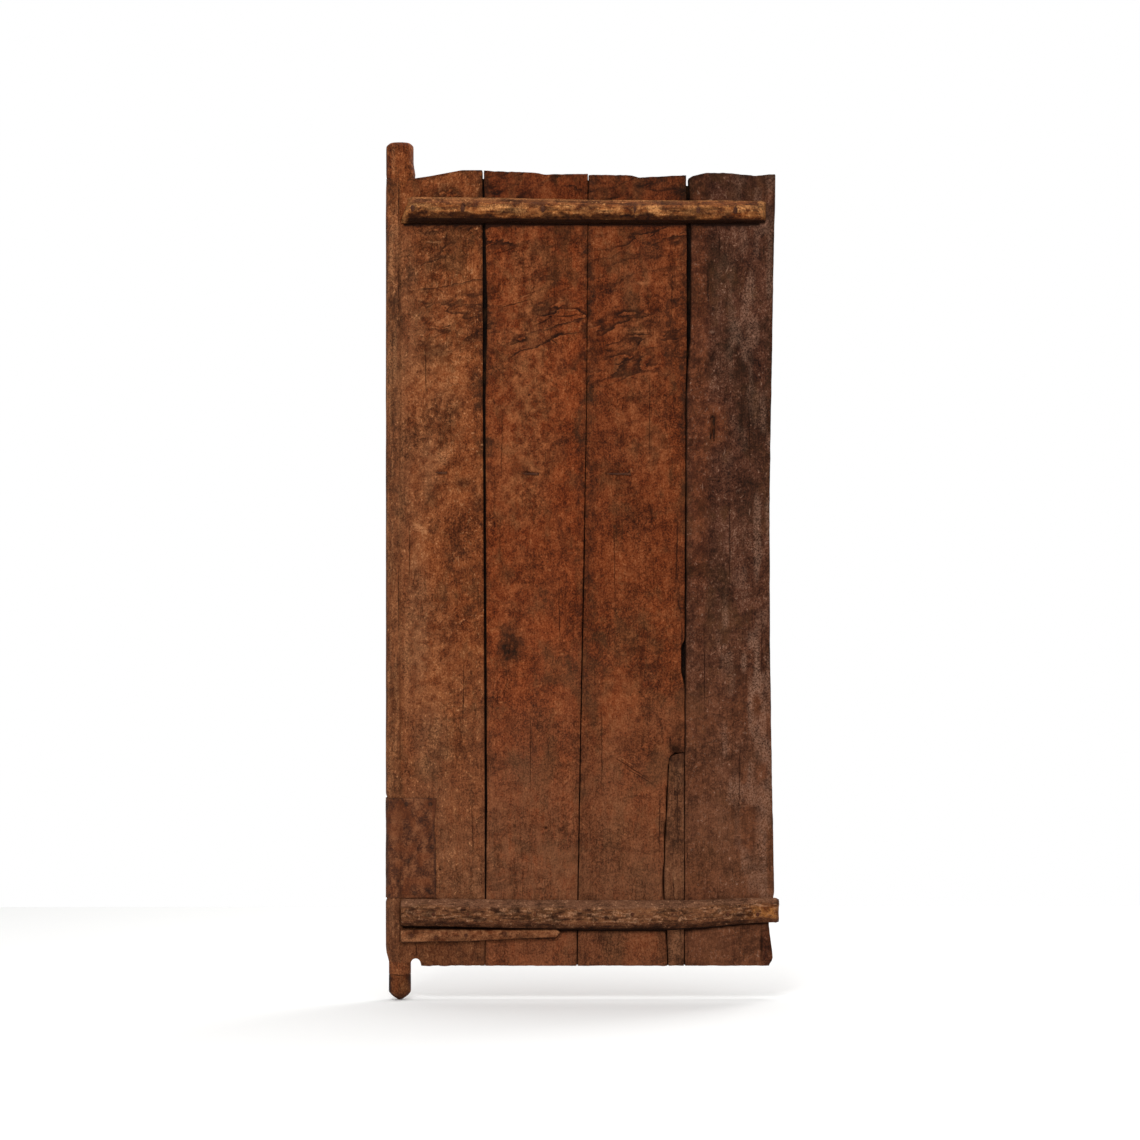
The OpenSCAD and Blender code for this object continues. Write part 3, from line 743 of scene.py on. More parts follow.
def make_hanging_plank():
    seed = 11
    dents = [(72, 1511, 20, 10, 0, 1.6), (-2, 1317, 14, 7, 60, 1.5), (40, 928, 16, 8, -30, 1.2),
             (129, 1019, 18, 9, 0, 0.8), (136, 768, 9, 7, 20, 1.2), (120, 1340, 26, 60, 0, 1.0),
             (60, 640, 24, 50, 10, 0.9), (110, 470, 30, 42, 0, 0.8), (81, 245, 3.5, 3.5, 0, 3)]
    x, y, z, s, v, quads = hanging_shell(seed, dents)
    front = s < 0.5
    paint = painter(x, z, front)
    stained = smooth(0.55, 0.8, noise(z / 60, x / 14, seed + 61)) * smooth(6, -4, x)
    streaked = smooth(0.5, 0.75, noise(x / 4.5, z / 70, seed + 60)) * smooth(8, -2, x)
    strip = smooth(62, 8, x + 26 * fractal(z / 130, x / 40, 31)) * smooth(1560, 1500, z)
    masks = {
        # Dark: stains and holes, with painted shade down the rim's far left side and painted shadow under the
        # ledges.
        "dark": paint(
            [(129, 1019, 20, 10, 0, 0.7), (157, 977, 16, 9, 90, 0.55), (136, 768, 10, 7, 0, 0.6),
             (93, 1511, 3, 10, 0, 0.8)],
            0.5 * smooth(-24, -29, x), 0.42 * stained, 0.3 * smooth(200, 150, z),
            0.46 * smooth(112, 96, z) * smooth(30, 48, x) * front,
            0.10 * smooth(LEDGE_TOP, LEDGE_TOP + 20, z),
            0.35 * smooth(166, 172, x) + 0.3 * smooth(64, 52, z),
            saw_line(v) * (x > STEP_X), painted_ledge_shadows(x, z) * front * (x > STEP_X)),
        "pale": paint(
            [(85, 1069, 15, 12, 90, 0.55), (40, 928, 15, 6, -35, 0.8), (72, 520, 34, 9, 80, 0.45),
             (50, 455, 26, 8, 100, 0.4), (100, 476, 16, 9, 90, 0.35), (14, 660, 110, 5, 90, 0.35),
             (60, 1520, 22, 9, 0, 0.25), (4, 1450, 60, 4, 90, 0.25), (5, 1100, 200, 4, 90, 0.25)],
            0.45 * streaked * smooth(220, 420, z)),
        "warm": blots(x, z, [(-17, 1434, 50, 6, 90, 0.45), (70, 1230, 260, 60, 90, 0.30),
                             (60, 700, 120, 50, 90, 0.3)]),
        "dust": paint(
            [(62, 500, 90, 44, 90, 0.8), (34, 740, 170, 26, 91, 0.7), (56, 1050, 60, 20, 90, 0.5)],
            foot_dust(x, z, seed, 800), 0.55 * strip),
        "grime": paint(
            [(44, 1262, 34, 22, 90, 0.6), (24, 1432, 26, 14, 90, 0.6), (150, 1365, 46, 20, 90, 0.45),
             (160, 1010, 60, 16, 90, 0.5), (158, 1200, 60, 12, 90, 0.7), (64, 930, 26, 16, 90, 0.45),
             (120, 880, 40, 22, 60, 0.4)],
            edge_grime(x, z, np.clip((x + 10) / 182, 0, 1), seed) * front),
        "crease": (0.35 + 0.65 * smooth(1230, 1330, z)) * smooth(20, 50, x) * front}
    pins, pin_faces = pintles(seed)
    points, faces = joined([(np.stack([x, y, z], 1), quads.tolist()), (pins, pin_faces)])
    pin_masks = pintle_masks(pins)
    none = np.zeros(len(pins))
    masks = {name: np.concatenate([mask, pin_masks.get(name, none)]) for name, mask in masks.items()}
    tones = srgb(76, 33, 11), srgb(116, 57, 26), srgb(146, 82, 43), srgb(180, 122, 80)
    # The three lines at x = -1.5 are painted shadow along the step where the round rim meets the flat face; the
    # others are cracks, nail marks and scribed lines.
    lines = [(-1.5, 1578, 70, 1.5, 90), (-1.5, 1400, 90, 0.8, 90), (-1.5, 789, 85, 1.1, 90),
             (83, 1038, 9, 2.0, 0), (34, 83, 15, 1.3, 90), (81, 245, 3, 3, 0), (0, 14, 7, 1.2, 90),
             (93, 1511, 9, 2.2, 85), (52, 1250, 60, 0.9, 91), (128, 600, 80, 0.9, 89),
             (20, 880, 70, 0.8, 90), (146, 330, 60, 0.9, 92), (0, PIN_LINE, 22, 0.9, 0)]
    chips = [(69, 1500, 18, 1.8, 0), (165, 1094, 4, 2, 0), (147, 1118, 4, 2, 0),
             (165, 752, 4, 2, 0), (33, 934, 8, 2.5, -40), (45, 920, 7, 2.2, -30),
             (104, 1420, 6, 1.2, 80), (50, 1180, 8, 1.2, 84), (118, 866, 7, 1.3, 88)]
    material = wood("hanging_plank_wood", tones, dark_marks=lines, pale_marks=chips,
                    crease=0.75, flecks=0.5)
    piece("hanging_plank_timber", "hanging_plank", "hewn_planks", points, faces, material, **masks)


def make_second_plank():
    seed = 23
    ridges = [(218, 1486, 37, 19, 1.3), (228, 1377, 47, 15, 1.5), (290, 1342, 19, 25, 2.2),
              (336, 1353, 31, 6, 2.2), (238, 1301, 28, 18, 1.5), (280, 1312, 15, 8, 1.5),
              (306, 1304, 15, -42, 1.4), (330, 1301, 15, 28, 1.4), (197, 1218, 22, 22, 0.9),
              (235, 1235, 20, 27, 0.9), (267, 1242, 14, -8, 0.9), (320, 1120, 34, 12, 1.0),
              (230, 980, 30, 20, 0.8), (300, 905, 40, 8, 0.8), (250, 560, 45, 14, 0.8)]
    dents = [(221, 690, 19, 34, 0, -0.8), (221, 690, 9, 20, 0, 0.9), (259, 1194, 3, 3, 0, 2.5),
             (293, 328, 4, 4, 0, 3), (181, 936, 7, 9, 0, 1.2), (182, 1180, 6, 9, 0, 1.2),
             (325, 1430, 26, 44, 0, 0.9), (340, 420, 20, 60, 0, 0.8)]
    x, y, z, u, s, v, quads = board("second_plank", (62, 9, 400), seed, dents=dents, ridges=ridges)
    front = s < 0.5
    paint = painter(x, z, front)
    # The lines that follow the ridges above are painted shadow under the axe steps; the others are cracks, nail
    # marks and a knot's rim.
    lines = [(259, 1039, 15, 2.0, -8), (259, 1194, 3, 3, 0), (293, 328, 4, 4, 0),
             (288, 1341, 20, 1.6, 25), (336, 1352, 32, 1.8, 6), (238, 1300, 28, 1.2, 18),
             (307, 1303, 15, 1.2, -42), (228, 1376, 46, 1.1, 15), (218, 1485, 36, 0.9, 19),
             (186, 948, 8, 1.6, 25), (190, 936, 10, 2, 88), (186, 924, 8, 1.6, -25),
             (189, 1180, 10, 1.8, 88), (320, 760, 90, 0.9, 91), (205, 1100, 80, 0.8, 89),
             (262, 480, 100, 0.9, 90), (221, 690, 26, 1.1, 88), (212, 688, 18, 0.9, 84)]
    chips = [(265, 1048, 5, 2.5, 0), (300, 844, 4, 2, 0), (325, 676, 4, 2, 0),
             (203, 580, 4, 2, 0), (310, 1362, 10, 1.4, 10), (345, 1364, 12, 1.4, 4),
             (250, 1392, 14, 1.1, 16), (300, 1328, 12, 1.3, 20), (262, 900, 7, 1.3, 85)]
    tones = srgb(70, 25, 6), srgb(113, 48, 17), srgb(140, 68, 32), srgb(170, 106, 64)
    material = wood("second_plank_wood", tones, dark_marks=lines, pale_marks=chips,
                    crease=0.95, flecks=0.2)
    piece("second_plank_timber", "second_plank", "hewn_planks", np.stack([x, y, z], 1), quads, material,
          dark=paint([(325, 1514, 38, 13, 0, 0.6), (221, 692, 36, 21, 82, 0.75),
                      (188, 936, 11, 4, 90, 0.5), (187, 1180, 10, 4, 90, 0.5),
                      (330, 1340, 34, 6, 6, 0.45), (250, 1300, 30, 5, 16, 0.4)],
                     0.30 * smooth(338, 370, x) * (0.6 + 0.8 * noise(z / 90, x / 30, 5)),
                     0.12 * smooth(620, 900, z) + 0.3 * smooth(180, 170, x),
                     0.45 * above_ledge(z), saw_line(v), painted_ledge_shadows(x, z) * front),
          pale=paint([(181, 936, 5, 6, 0, 0.7), (181, 1180, 4, 5, 0, 0.6),
                      (265, 1048, 5, 3, 0, 0.8), (240, 1260, 40, 14, 80, 0.2)]),
          warm=blots(x, z, [(250, 1230, 330, 60, 90, 0.52), (230, 790, 60, 40, 90, 0.2)]),
          dust=foot_dust(x, z, seed, 860),
          grime=paint(edge_grime(x, z, u, seed), blot(x, z, (221, 690, 42, 24, 82), 0.7)) * front,
          crease=rippled(z) * front)


def make_third_plank():
    seed = 37
    ridges = [(478, 1316, 33, 0, 1.4), (460, 1400, 30, 10, 1.0), (520, 1190, 36, -8, 1.0),
              (430, 1150, 30, 14, 0.9), (480, 880, 44, 6, 0.8), (520, 640, 30, -14, 0.8),
              (473, 442, 57, -32, 1.0), (440, 250, 40, -10, 0.8)]
    dents = [(420, 1283, 13, 5, 0, 2.0), (485, 1416, 13, 4, 0, 1.2), (556, 515, 14, 38, 0, 1.8),
             (500, 1080, 24, 60, 0, 0.9), (430, 700, 26, 50, 0, 0.8), (447, 1020, 12, 8, 0, 0.8)]
    x, y, z, u, s, v, quads = board("third_plank", (62, 9, 400), seed, dents=dents, ridges=ridges)
    y = y + REBATE_DEPTH * in_rebate(x, z) * two_sided(s)[0]
    front = s < 0.5
    paint = painter(x, z, front)
    # The lines at (478, 1315), (465, 447) and (480, 432) follow the ridges above and are painted shadow under the
    # axe steps; the others are cracks, holes and splits.
    lines = [(438, 1036, 23, 2.0, 3), (460, 1040, 6, 1.8, 60), (555, 883, 87, 1.9, 88.7),
             (559, 775, 22, 2.0, -74), (565, 709, 46, 2.0, 90), (541.6, 496, 18, 1.4, 90),
             (478, 1315, 33, 1.3, 0), (420, 1283, 13, 2.6, 0), (465, 447, 50, 0.9, -32),
             (480, 432, 44, 0.8, -31), (500, 1150, 100, 0.9, 90), (430, 860, 90, 0.8, 91),
             (520, 330, 70, 0.9, 89), (405, 480, 90, 0.8, 90), (545, 1400, 60, 1.0, 89)]
    chips = [(485, 1418, 12, 2.6, 0), (478, 1321, 26, 1.1, 0), (463, 1044, 4, 2, 60),
             (452, 462, 22, 0.9, -32), (510, 700, 6, 1.4, 80), (400, 620, 5, 1.5, 90)]
    tones = srgb(62, 23, 6), srgb(106, 46, 17), srgb(132, 66, 32), srgb(160, 100, 62)
    material = wood("third_plank_wood", tones, dark_marks=lines, pale_marks=chips,
                    crease=0.9, flecks=0.2)
    piece("third_plank_timber", "third_plank", "hewn_planks", np.stack([x, y, z], 1), quads, material,
          # The spots at (552, 486), (560, 522) and (556, 515) are painted shade in the splintered hollow above the
          # filler strip.
          dark=paint([(390, 1291, 38, 12, 90, 0.6), (386, 1004, 100, 9, 90, 0.5),
                      (447, 1020, 14, 9, 0, 0.6), (556, 515, 40, 13, 90, 0.35),
                      (420, 1283, 14, 6, 0, 0.6), (556, 860, 130, 9, 90, 0.35),
                      (552, 486, 17, 12, 0, 0.95), (560, 522, 26, 8, 90, 0.7)],
                     0.28 * smooth(404, 380, x) * (0.6 + 0.8 * noise(z / 90, x / 30, 6)),
                     0.10 * smooth(600, 900, z) + 0.3 * smooth(562, 571, x),
                     0.42 * above_ledge(z), saw_line(v), painted_ledge_shadows(x, z) * front),
          pale=paint([(485, 1418, 12, 4, 0, 0.6), (478, 1322, 30, 5, 0, 0.3),
                      (463, 1042, 5, 3, 0, 0.5)]),
          warm=blots(x, z, [(480, 1250, 290, 60, 90, 0.25), (470, 640, 150, 60, 90, 0.2)]),
          dust=foot_dust(x, z, seed, 760), grime=edge_grime(x, z, u, seed) * front,
          crease=rippled(z) * front)


def in_rebate(x, z):
    """1 where the third plank is cut away for the filler strip."""
    heights, left, _ = EDGES["filler_strip"]
    edge = np.interp(z, heights, left) - 0.5 - smooth(470, 400, z)
    return smooth(-1, 1, x - edge) * smooth(2, -2, z - heights[-1] - 1)


def make_leading_plank():
    seed = 53
    ridges = [(680, 1440, 34, 14, 1.2), (690, 1330, 40, -8, 1.2), (660, 1200, 40, 20, 1.2),
              (690, 1060, 36, 8, 1.1), (640, 940, 30, -16, 1.0), (690, 820, 40, 10, 1.0),
              (650, 640, 40, 6, 0.9), (690, 460, 40, -12, 0.9), (640, 300, 40, 10, 0.8)]
    dents = [(624, 1269, 17, 9, 60, 2.2), (700, 1250, 20, 50, 0, 1.2), (650, 1120, 28, 44, 0, 0.9),
             (600, 860, 18, 60, 0, 0.9), (700, 620, 22, 60, 0, 1.0), (660, 1380, 20, 30, 0, 1.1),
             (631, 1134, 30, 20, 90, 0.7)]
    x, y, z, u, s, v, quads = board("leading_plank", (60, 9, 400), seed, arris=1.8,
                                    dents=dents, ridges=ridges, grain=0.5)
    chamfer = smooth(586, 577, x) * smooth(1190, 1230, z) + smooth(728, 745, x) * smooth(136, 120, z)
    y = y + chamfer * 4 * two_sided(s)[0]
    front = s < 0.5
    paint = painter(x, z, front)
    right_side = smooth(640, 730, x + 60 * fractal(z / 90, x / 40, seed + 71))
    streaky = smooth(0.38, 0.7, noise(x / 13, z / 44, seed + 70))
    dust = foot_dust(x, z, seed, 860) + 0.45 * smooth(160, 130, z)
    lines = [(625, 1026, 13, 2.1, 0), (617, 1412, 56, 1.8, 90), (624, 1272, 14, 2.4, 60),
             (660, 900, 110, 1.0, 90), (700, 1120, 90, 1.1, 91), (610, 640, 90, 1.0, 90),
             (680, 420, 90, 1.0, 89), (725, 700, 80, 1.0, 90), (640, 1500, 40, 1.2, 90)]
    chips = [(625, 1320, 5, 3, 0), (691, 518, 5, 2.2, 0), (655, 1445, 9, 1.6, 70),
             (702, 1400, 8, 1.6, 84), (668, 1300, 9, 1.6, 76), (722, 1180, 9, 1.5, 90),
             (650, 1080, 8, 1.4, 80), (700, 960, 8, 1.4, 84), (606, 1010, 8, 1.4, 90)]
    tones = srgb(38, 17, 10), srgb(71, 38, 24), srgb(94, 56, 40), srgb(140, 104, 84)
    material = wood("leading_plank_wood", tones, dust=srgb(108, 68, 46), dark_marks=lines,
                    pale_marks=chips, crease=0.6, flecks=0.45,
                    glow=(srgb(78, 36, 18), srgb(122, 66, 38)))
    piece("leading_plank_timber", "leading_plank", "dark_plank", np.stack([x, y, z], 1), quads, material,
          dark=paint([(624, 1269, 17, 9, 60, 0.6), (700, 1250, 50, 20, 90, 0.35),
                      (627, 1149, 8, 6, 90, 1.0), (737, 95, 44, 9, 90, 0.5),
                      (724, 96, 40, 3.2, 90, 0.95), (733, 1562, 17, 8, 90, 0.6),
                      (617, 1412, 56, 4, 90, 0.5)],
                     0.25 * smooth(732, 748, x), smooth(0.022, 0.008, u) * smooth(470, 490, z),
                     0.45 * above_ledge(z), saw_line(v), painted_ledge_shadows(x, z) * front),
          pale=paint([(625, 1320, 5, 3, 0, 0.7)], 0.55 * right_side * smooth(140, 200, z) * streaky,
                     streaky * paint([(700, 640, 120, 34, 90, 0.8), (680, 500, 110, 34, 86, 0.9),
                                      (672, 740, 90, 26, 80, 0.7), (706, 1410, 80, 26, 90, 0.6),
                                      (690, 1290, 110, 36, 90, 0.5)])),
          warm=paint(blots(x, z, [(598, 1200, 460, 20, 90, 0.75), (629, 1134, 44, 26, 90, 0.95),
                                  (735, 95, 44, 16, 90, 0.6), (735, 1600, 30, 14, 90, 0.5)]),
                     0.45 * smooth(760, 520, z) * noise(x / 50, z / 60, seed + 72),
                     0.35 * smooth(160, 130, z)),
          dust=dust * np.maximum(smooth(731, 722, x), smooth(120, 140, z)),
          grime=paint([(640, 1440, 70, 34, 90, 0.8), (655, 1290, 60, 24, 80, 0.7),
                       (640, 800, 90, 26, 90, 0.6), (700, 960, 80, 30, 90, 0.55),
                       (670, 330, 34, 22, 0, 0.75), (715, 470, 50, 18, 90, 0.5)],
                      edge_grime(x, z, u, seed) * front),
          crease=0.6 * front)


def make_filler():
    seed = 71
    x, y, z, u, _, _, quads = board(
        "filler_strip", (16, 7, 120), seed, y1=FACE + REBATE_DEPTH, arris=1.4, grain=0.5,
        dents=[(555, 300, 8, 40, 0, 0.9), (550, 430, 7, 22, 0, 0.8)])
    tones = srgb(46, 22, 11), srgb(86, 46, 26), srgb(112, 68, 43), srgb(140, 96, 68)
    lines = [(556, 380, 60, 1.0, 90), (548, 200, 60, 0.9, 91), (562, 140, 50, 0.9, 90)]
    material = wood("filler_wood", tones, dark_marks=lines, fibrous=0.8)
    ragged_top = smooth(438, 466, z + 9 * fractal(x / 6, z / 12, 5))
    piece("filler_wood", "filler_strip", "filler_wood", np.stack([x, y, z], 1), quads, material,
          dark=np.maximum(0.45 * smooth(0.12, 0, u), 0.55 * ragged_top),
          dust=0.45 + 0.3 * smooth(300, 100, z), warm=0.1 + 0 * x,
          pale=0.3 * smooth(0.6, 0.75, noise(x / 8, z / 30, 3)))


# ---------------------------------------------------------------- poles and rails

def half_pole(x0, x1, centre, radius, seed, lean, facets, sink=0.0, skew=0.0, rough=0.6,
              stations=300, arc=44):
    """A split pole along X with its flat side on the inner face. Its centre and radius go by x,
    facets takes wood away by x and turn, and lean slopes its two ends. Gives points, faces, how
    far each point stands off the planks and how far it lies above the centre."""
    t = np.concatenate([[0, 0, 0], np.linspace(0, 1, stations), [1, 1, 1]])
    shrink = np.concatenate([[0.25, 0.6, 0.9], np.ones(stations), [0.9, 0.6, 0.25]])
    x = (x0 + (x1 - x0) * t)[:, None]
    turn_end = math.acos(sink / radius(x0))
    turn = np.linspace(-turn_end, turn_end, arc)[None]
    r = radius(x) + rough * 1.6 * fractal(x / 45, turn * 2.2 + 9, seed)
    r = r + rough * fractal(x / 9, turn * 7 + 3, seed + 2, 3)
    r = r - facets(x, turn)
    ends = smooth(7, 0, np.minimum(x - x0, x1 - x))
    r = r - 2.2 * ends * (0.5 + noise(x * 0, turn * 4, seed + 4))
    mid = centre(x)
    y = FACE + sink - r * np.cos(turn)
    z = mid + r * np.sin(turn)
    y = np.minimum(y, FACE)
    flat = np.linspace(1, -1, 9)[None, 1:-1]
    y = np.concatenate([y, np.full((len(t), flat.shape[1]), FACE + 0.3)], 1)
    z = np.concatenate([z, mid + r[:, :1] * math.sin(turn_end) * flat], 1)
    mid_y = FACE - 0.4 * radius(x)
    y, z = mid_y + (y - mid_y) * shrink[:, None], mid + (z - mid) * shrink[:, None]
    deep = FACE - y
    reach = 70
    near = smooth(reach, 0, x - x0)
    x = x + lean[0] * deep * near - lean[1] * deep * smooth(reach, 0, x1 - x)
    x = x + skew * near * smooth(-1.0, 1.0, (z - mid) / radius(x0))
    saw = 1.2 * fractal(y / 7, z / 7, seed + 6) * (smooth(3, 0, t * (x1 - x0))[:, None] -
                                                   smooth(3, 0, (1 - t) * (x1 - x0))[:, None])
    points, faces = closed_rows(np.stack([x + saw, y, z], -1))
    return points, faces, FACE - points[:, 1], points[:, 2] - centre(points[:, 0])


def make_top_ledge():
    seed = 83
    low, high = corners("top_ledge")
    z0, left_r = (high.z + low.z) / 2, (high.z - low.z) / 2
    z1 = z0 - 4.5
    right_r = cast("top_ledge", (high.x - 12, FACE - 1, 2000), (0, 0, -1)).z - z1

    def centre(x):
        return z0 + (z1 - z0) * (x - low.x) / (high.x - low.x) + 0.8 * np.sin(x / 90)

    def radius(x):
        return left_r + (right_r - left_r) * (x - low.x) / (high.x - low.x)

    def facets(x, turn):
        crack = 1.6 * smooth(1.6, 0, np.abs(turn * 26 - 19 - 0.8 * np.sin(x / 40)))
        crack = crack * smooth(30, 50, x) * smooth(400, 330, x)
        second = 1.8 * smooth(1.5, 0, np.abs(turn * 24 - 4.5 - np.sin(x / 50)))
        second = second * smooth(510, 525, x) * smooth(722, 700, x)
        knots = 1.6 * blot(x, turn * 25, (150, -4, 14, 9, 0), 0.6)
        return crack + second - knots - 1.4 * blot(x, turn * 25, (462, 3, 16, 10, 0), 0.6)

    points, faces, deep, up = half_pole(low.x - 2, high.x, centre, radius, seed,
                                        lean=(0.2, 0.3), skew=16, facets=facets)
    x = points[:, 0]
    none = x * 0
    paint = painter(x, up, 1)
    edge = fractal(x / 26, up / 12, seed + 20, 4) * 15 + fractal(x / 110, none, seed + 21) * 9
    # From here, the upper-middle band of the pole is a painted highlight: it is made paler and golden.
    wear_and_highlight = smooth(-13, -2, up + edge * 0.6) * smooth(14, 8, up)
    left_cut = smooth(20, 8, x - 9 * smooth(-20, 20, up))
    right_cut = smooth(high.x - 17, high.x - 12, x) * smooth(-14, -8, up)
    crack = smooth(1.7, 0.5, np.abs(up - 18 - 0.8 * np.sin(x / 40) + 4 * smooth(300, 560, x)))
    crack *= smooth(26, 50, x) * smooth(0.25, 0.45, noise(x / 60, none, 3))
    scars = [0.85 * blot(x + 2.5 * fractal(up / 5, none + at, seed + 33), up,
                         (at, level, width, half, 0), 0.6)
             for at, width, level, half in ((33, 4, 5, 10), (129, 5, 4, 10), (287, 6, 3, 9),
                                            (470, 4, 4, 7), (597, 4, 6, 6), (671, 4, 3, 6))]
    # Dark: the pole's lower half is painted shade, near black at the bottom; the cracks, nail scars, speckle and
    # dark end grain are its own.
    dark = paint(0.92 * smooth(-6, -12, up + edge), smooth(-13, -18, up), 0.8 * crack, *scars,
                 0.5 * smooth(0.70, 0.85, noise(x / 16, up / 5, seed + 30)),
                 0.5 * smooth(high.x - 34, high.x - 8, x + deep * 0.7))
    dark = dark * (1 - 0.7 * left_cut) * (1 - 0.8 * right_cut)
    top_strip = smooth(9, 13, up + 3 * fractal(x / 50, none, seed + 22))
    tones = srgb(50, 17, 5), srgb(112, 56, 22), srgb(158, 92, 44), srgb(202, 140, 84)
    material = wood("top_ledge_wood", tones, along="x", rough=0.55, fibrous=0.9, flecks=0.6)
    # The pale and warm colour in the band is the painted highlight, and the pale line along the top edge is a
    # painted highlight too.
    piece("top_ledge_pole", "top_ledge", "worn_pole", points, faces, material,
          dark=paint(dark, 0.75 * smooth(0.55, 0.72, noise(x / 30 + 9, up / 5, seed + 32)) * wear_and_highlight),
          pale=paint(wear_and_highlight * 0.8 * smooth(0.5, 0.75, noise(x / 34, up / 8, seed + 31)),
                     0.5 * left_cut, 0.7 * right_cut,
                     0.35 * smooth(19.5, 21.5, up) * smooth(15, 30, x)),
          warm=0.35 * wear_and_highlight, dust=0.35 * top_strip + 0.25 * smooth(12, 18, up))


def make_bottom_ledge():
    seed = 97
    end_x = corners("bottom_ledge")[1].x
    split = (633, 3, 17)

    def facets(x, turn):
        band = smooth(-0.62, -0.42, turn) * smooth(0.62, 0.44, turn)
        chips = band * (1.5 * smooth(0.45, 0.75, noise(x / 11, turn * 8, seed + 5)) +
                        1.3 * smooth(0.55, 0.8, noise(x / 6, turn * 14, seed + 6)))
        pits = sum(2.6 * blot(x, turn * 29, (at, -4, 6, 5, 0), 0.6) for at in (59, 141, 259, 700))
        bevel = 1.2 * np.abs(np.sin(turn * 2.0)) ** 6
        gap = 2.4 * blot(x, turn * 29, (*split, 3.4, 32), 0.5)
        return chips * smooth(720, 690, x) + gap + pits + bevel

    points, faces, _, up = half_pole(2.5, end_x, bottom_ledge_centre, bottom_ledge_radius,
                                     seed, sink=3.0, lean=(0.06, 0.16), rough=0.8,
                                     facets=facets, stations=400, arc=60)
    x = points[:, 0]
    paint = painter(x, up, 1)
    end = smooth(676, 738, x + 26 * fractal(x / 15, up / 9, seed + 12)) * smooth(16, 6, up)
    cloudy = up + 5 * fractal(x / 40, x * 0 + 1, seed + 8)
    # The pole's underside is painted shade, darkest along its lower edge.
    top_strip, shaded_underside = smooth(13, 18, cloudy), smooth(-12, -20, cloudy)
    band = smooth(-16, -9, cloudy) * (1 - top_strip)
    pits = [0.8 * blot(x, up, (at, level, 6, 5, 0), 0.7)
            for at, level in ((59, -3), (141, -5), (259, -4), (700, -6))]
    chips = [0.85 * blot(x, up, (at, level, size, 3.5, 0), 0.7)
             for at, level, size in ((441, -9, 7), (471, -11, 6), (639, 6, 5), (205, 4, 8), (228, 9, 7))]
    dark = paint(0.7 * shaded_underside + 0.75 * band * smooth(0.56, 0.72, noise(x / 13, up / 3.2, seed + 9)),
                 *pits, 0.8 * blot(x, up, (*split, 4, 30), 0.5),
                 0.9 * smooth(end_x - 7, end_x - 3, x))
    tones = srgb(48, 22, 10), srgb(94, 52, 30), srgb(128, 80, 50), srgb(168, 122, 90)
    material = wood("bottom_ledge_wood", tones, along="x", dust=srgb(120, 82, 60), depth=0.00176,
                    rough=0.66, fibrous=0.7, flecks=0.8,
                    glow=(srgb(106, 56, 23), srgb(172, 112, 58)))
    piece("bottom_ledge_pole", "bottom_ledge", "dusty_pole", points, faces, material,
          dark=paint(dark * (1 - 0.5 * end), smooth(-22, -26, up)),
          pale=paint(band * 0.75 * smooth(0.62, 0.8, noise(x / 10, up / 2.6, seed + 10)), *chips),
          warm=0.95 * end * (1 - shaded_underside) + 0.2 * band,
          dust=(0.95 * top_strip + 0.35 * band + 0.2) * (1 - end))


def slab(x0, x1, low, high, y0, y1, seed, counts, arris, hewing=0.5):
    """A bar along X whose lower and upper edges are functions of x: x, z, v, points and quads."""
    u, s, v, quads = shell(steps(counts[0], 0.2), steps(counts[1], 0), steps(counts[2], 0.2))
    x = x0 + (x1 - x0) * u
    a, b = low(x), high(x)
    z = a + (b - a) * v
    y = y0 + (y1 - y0) * s
    wear_and_highlight = arris * (0.7 + 1.2 * noise(x / 30, z / 30, seed) ** 2)
    x, y, z = rounded((x, y, z), (x0, y0, a), (x1, y1, b), wear_and_highlight)
    front, back = two_sided(s)
    bumps = hewing * (hewn(z, x, seed + 2) - 0.4)
    y = y + front * np.maximum(bumps, -0.4) - back * bumps * (y1 > FACE + 1)
    return x, z, v, np.stack([x, y, z], 1), quads


def make_lath():
    seed = 101
    low, high = corners("tapered_lath")

    def upper(x):
        return high.z - 4.5 * smooth(high.x - 14, high.x, x) ** 2 + 0.4 * np.sin(x / 47 + 1)

    x, z, v, points, quads = slab(2.5, high.x, lath_foot, upper, low.y, FACE + 0.2, seed,
                                  (110, 6, 12), arris=2.2)
    # The rim mask is painted shade: a dark outline along the lath's upper and lower edges and round its thin end.
    rim = smooth(0.14, 0.0, np.minimum(v, 1 - v)) + smooth(high.x - 8, high.x, x)
    tones = srgb(56, 24, 9), srgb(102, 53, 27), srgb(132, 78, 44), srgb(162, 108, 72)
    material = wood("lath_wood", tones, along="x", fibrous=0.8)
    piece("lath_strip", "tapered_lath", "worn_pole", points, quads, material,
          dark=painter(x, z, 1)([(25, 114, 9, 6, 0, 0.65), (73, 109, 8, 5, 0, 0.7),
                                 (133, 114, 5, 9, 0, 0.7), (211, 117, 9, 5, 0, 0.7)],
                                0.35 * smooth(0.55, 0.8, noise(x / 14, z / 6, seed + 4)),
                                0.75 * np.minimum(rim, 1)),
          warm=0.5 + 0.4 * smooth(0.35, 0.6, noise(x / 40, z / 12, seed + 5)),
          pale=0.4 * smooth(0.6, 0.8, noise(x / 22, z / 7, seed + 6)), dust=0.15 + 0 * x)


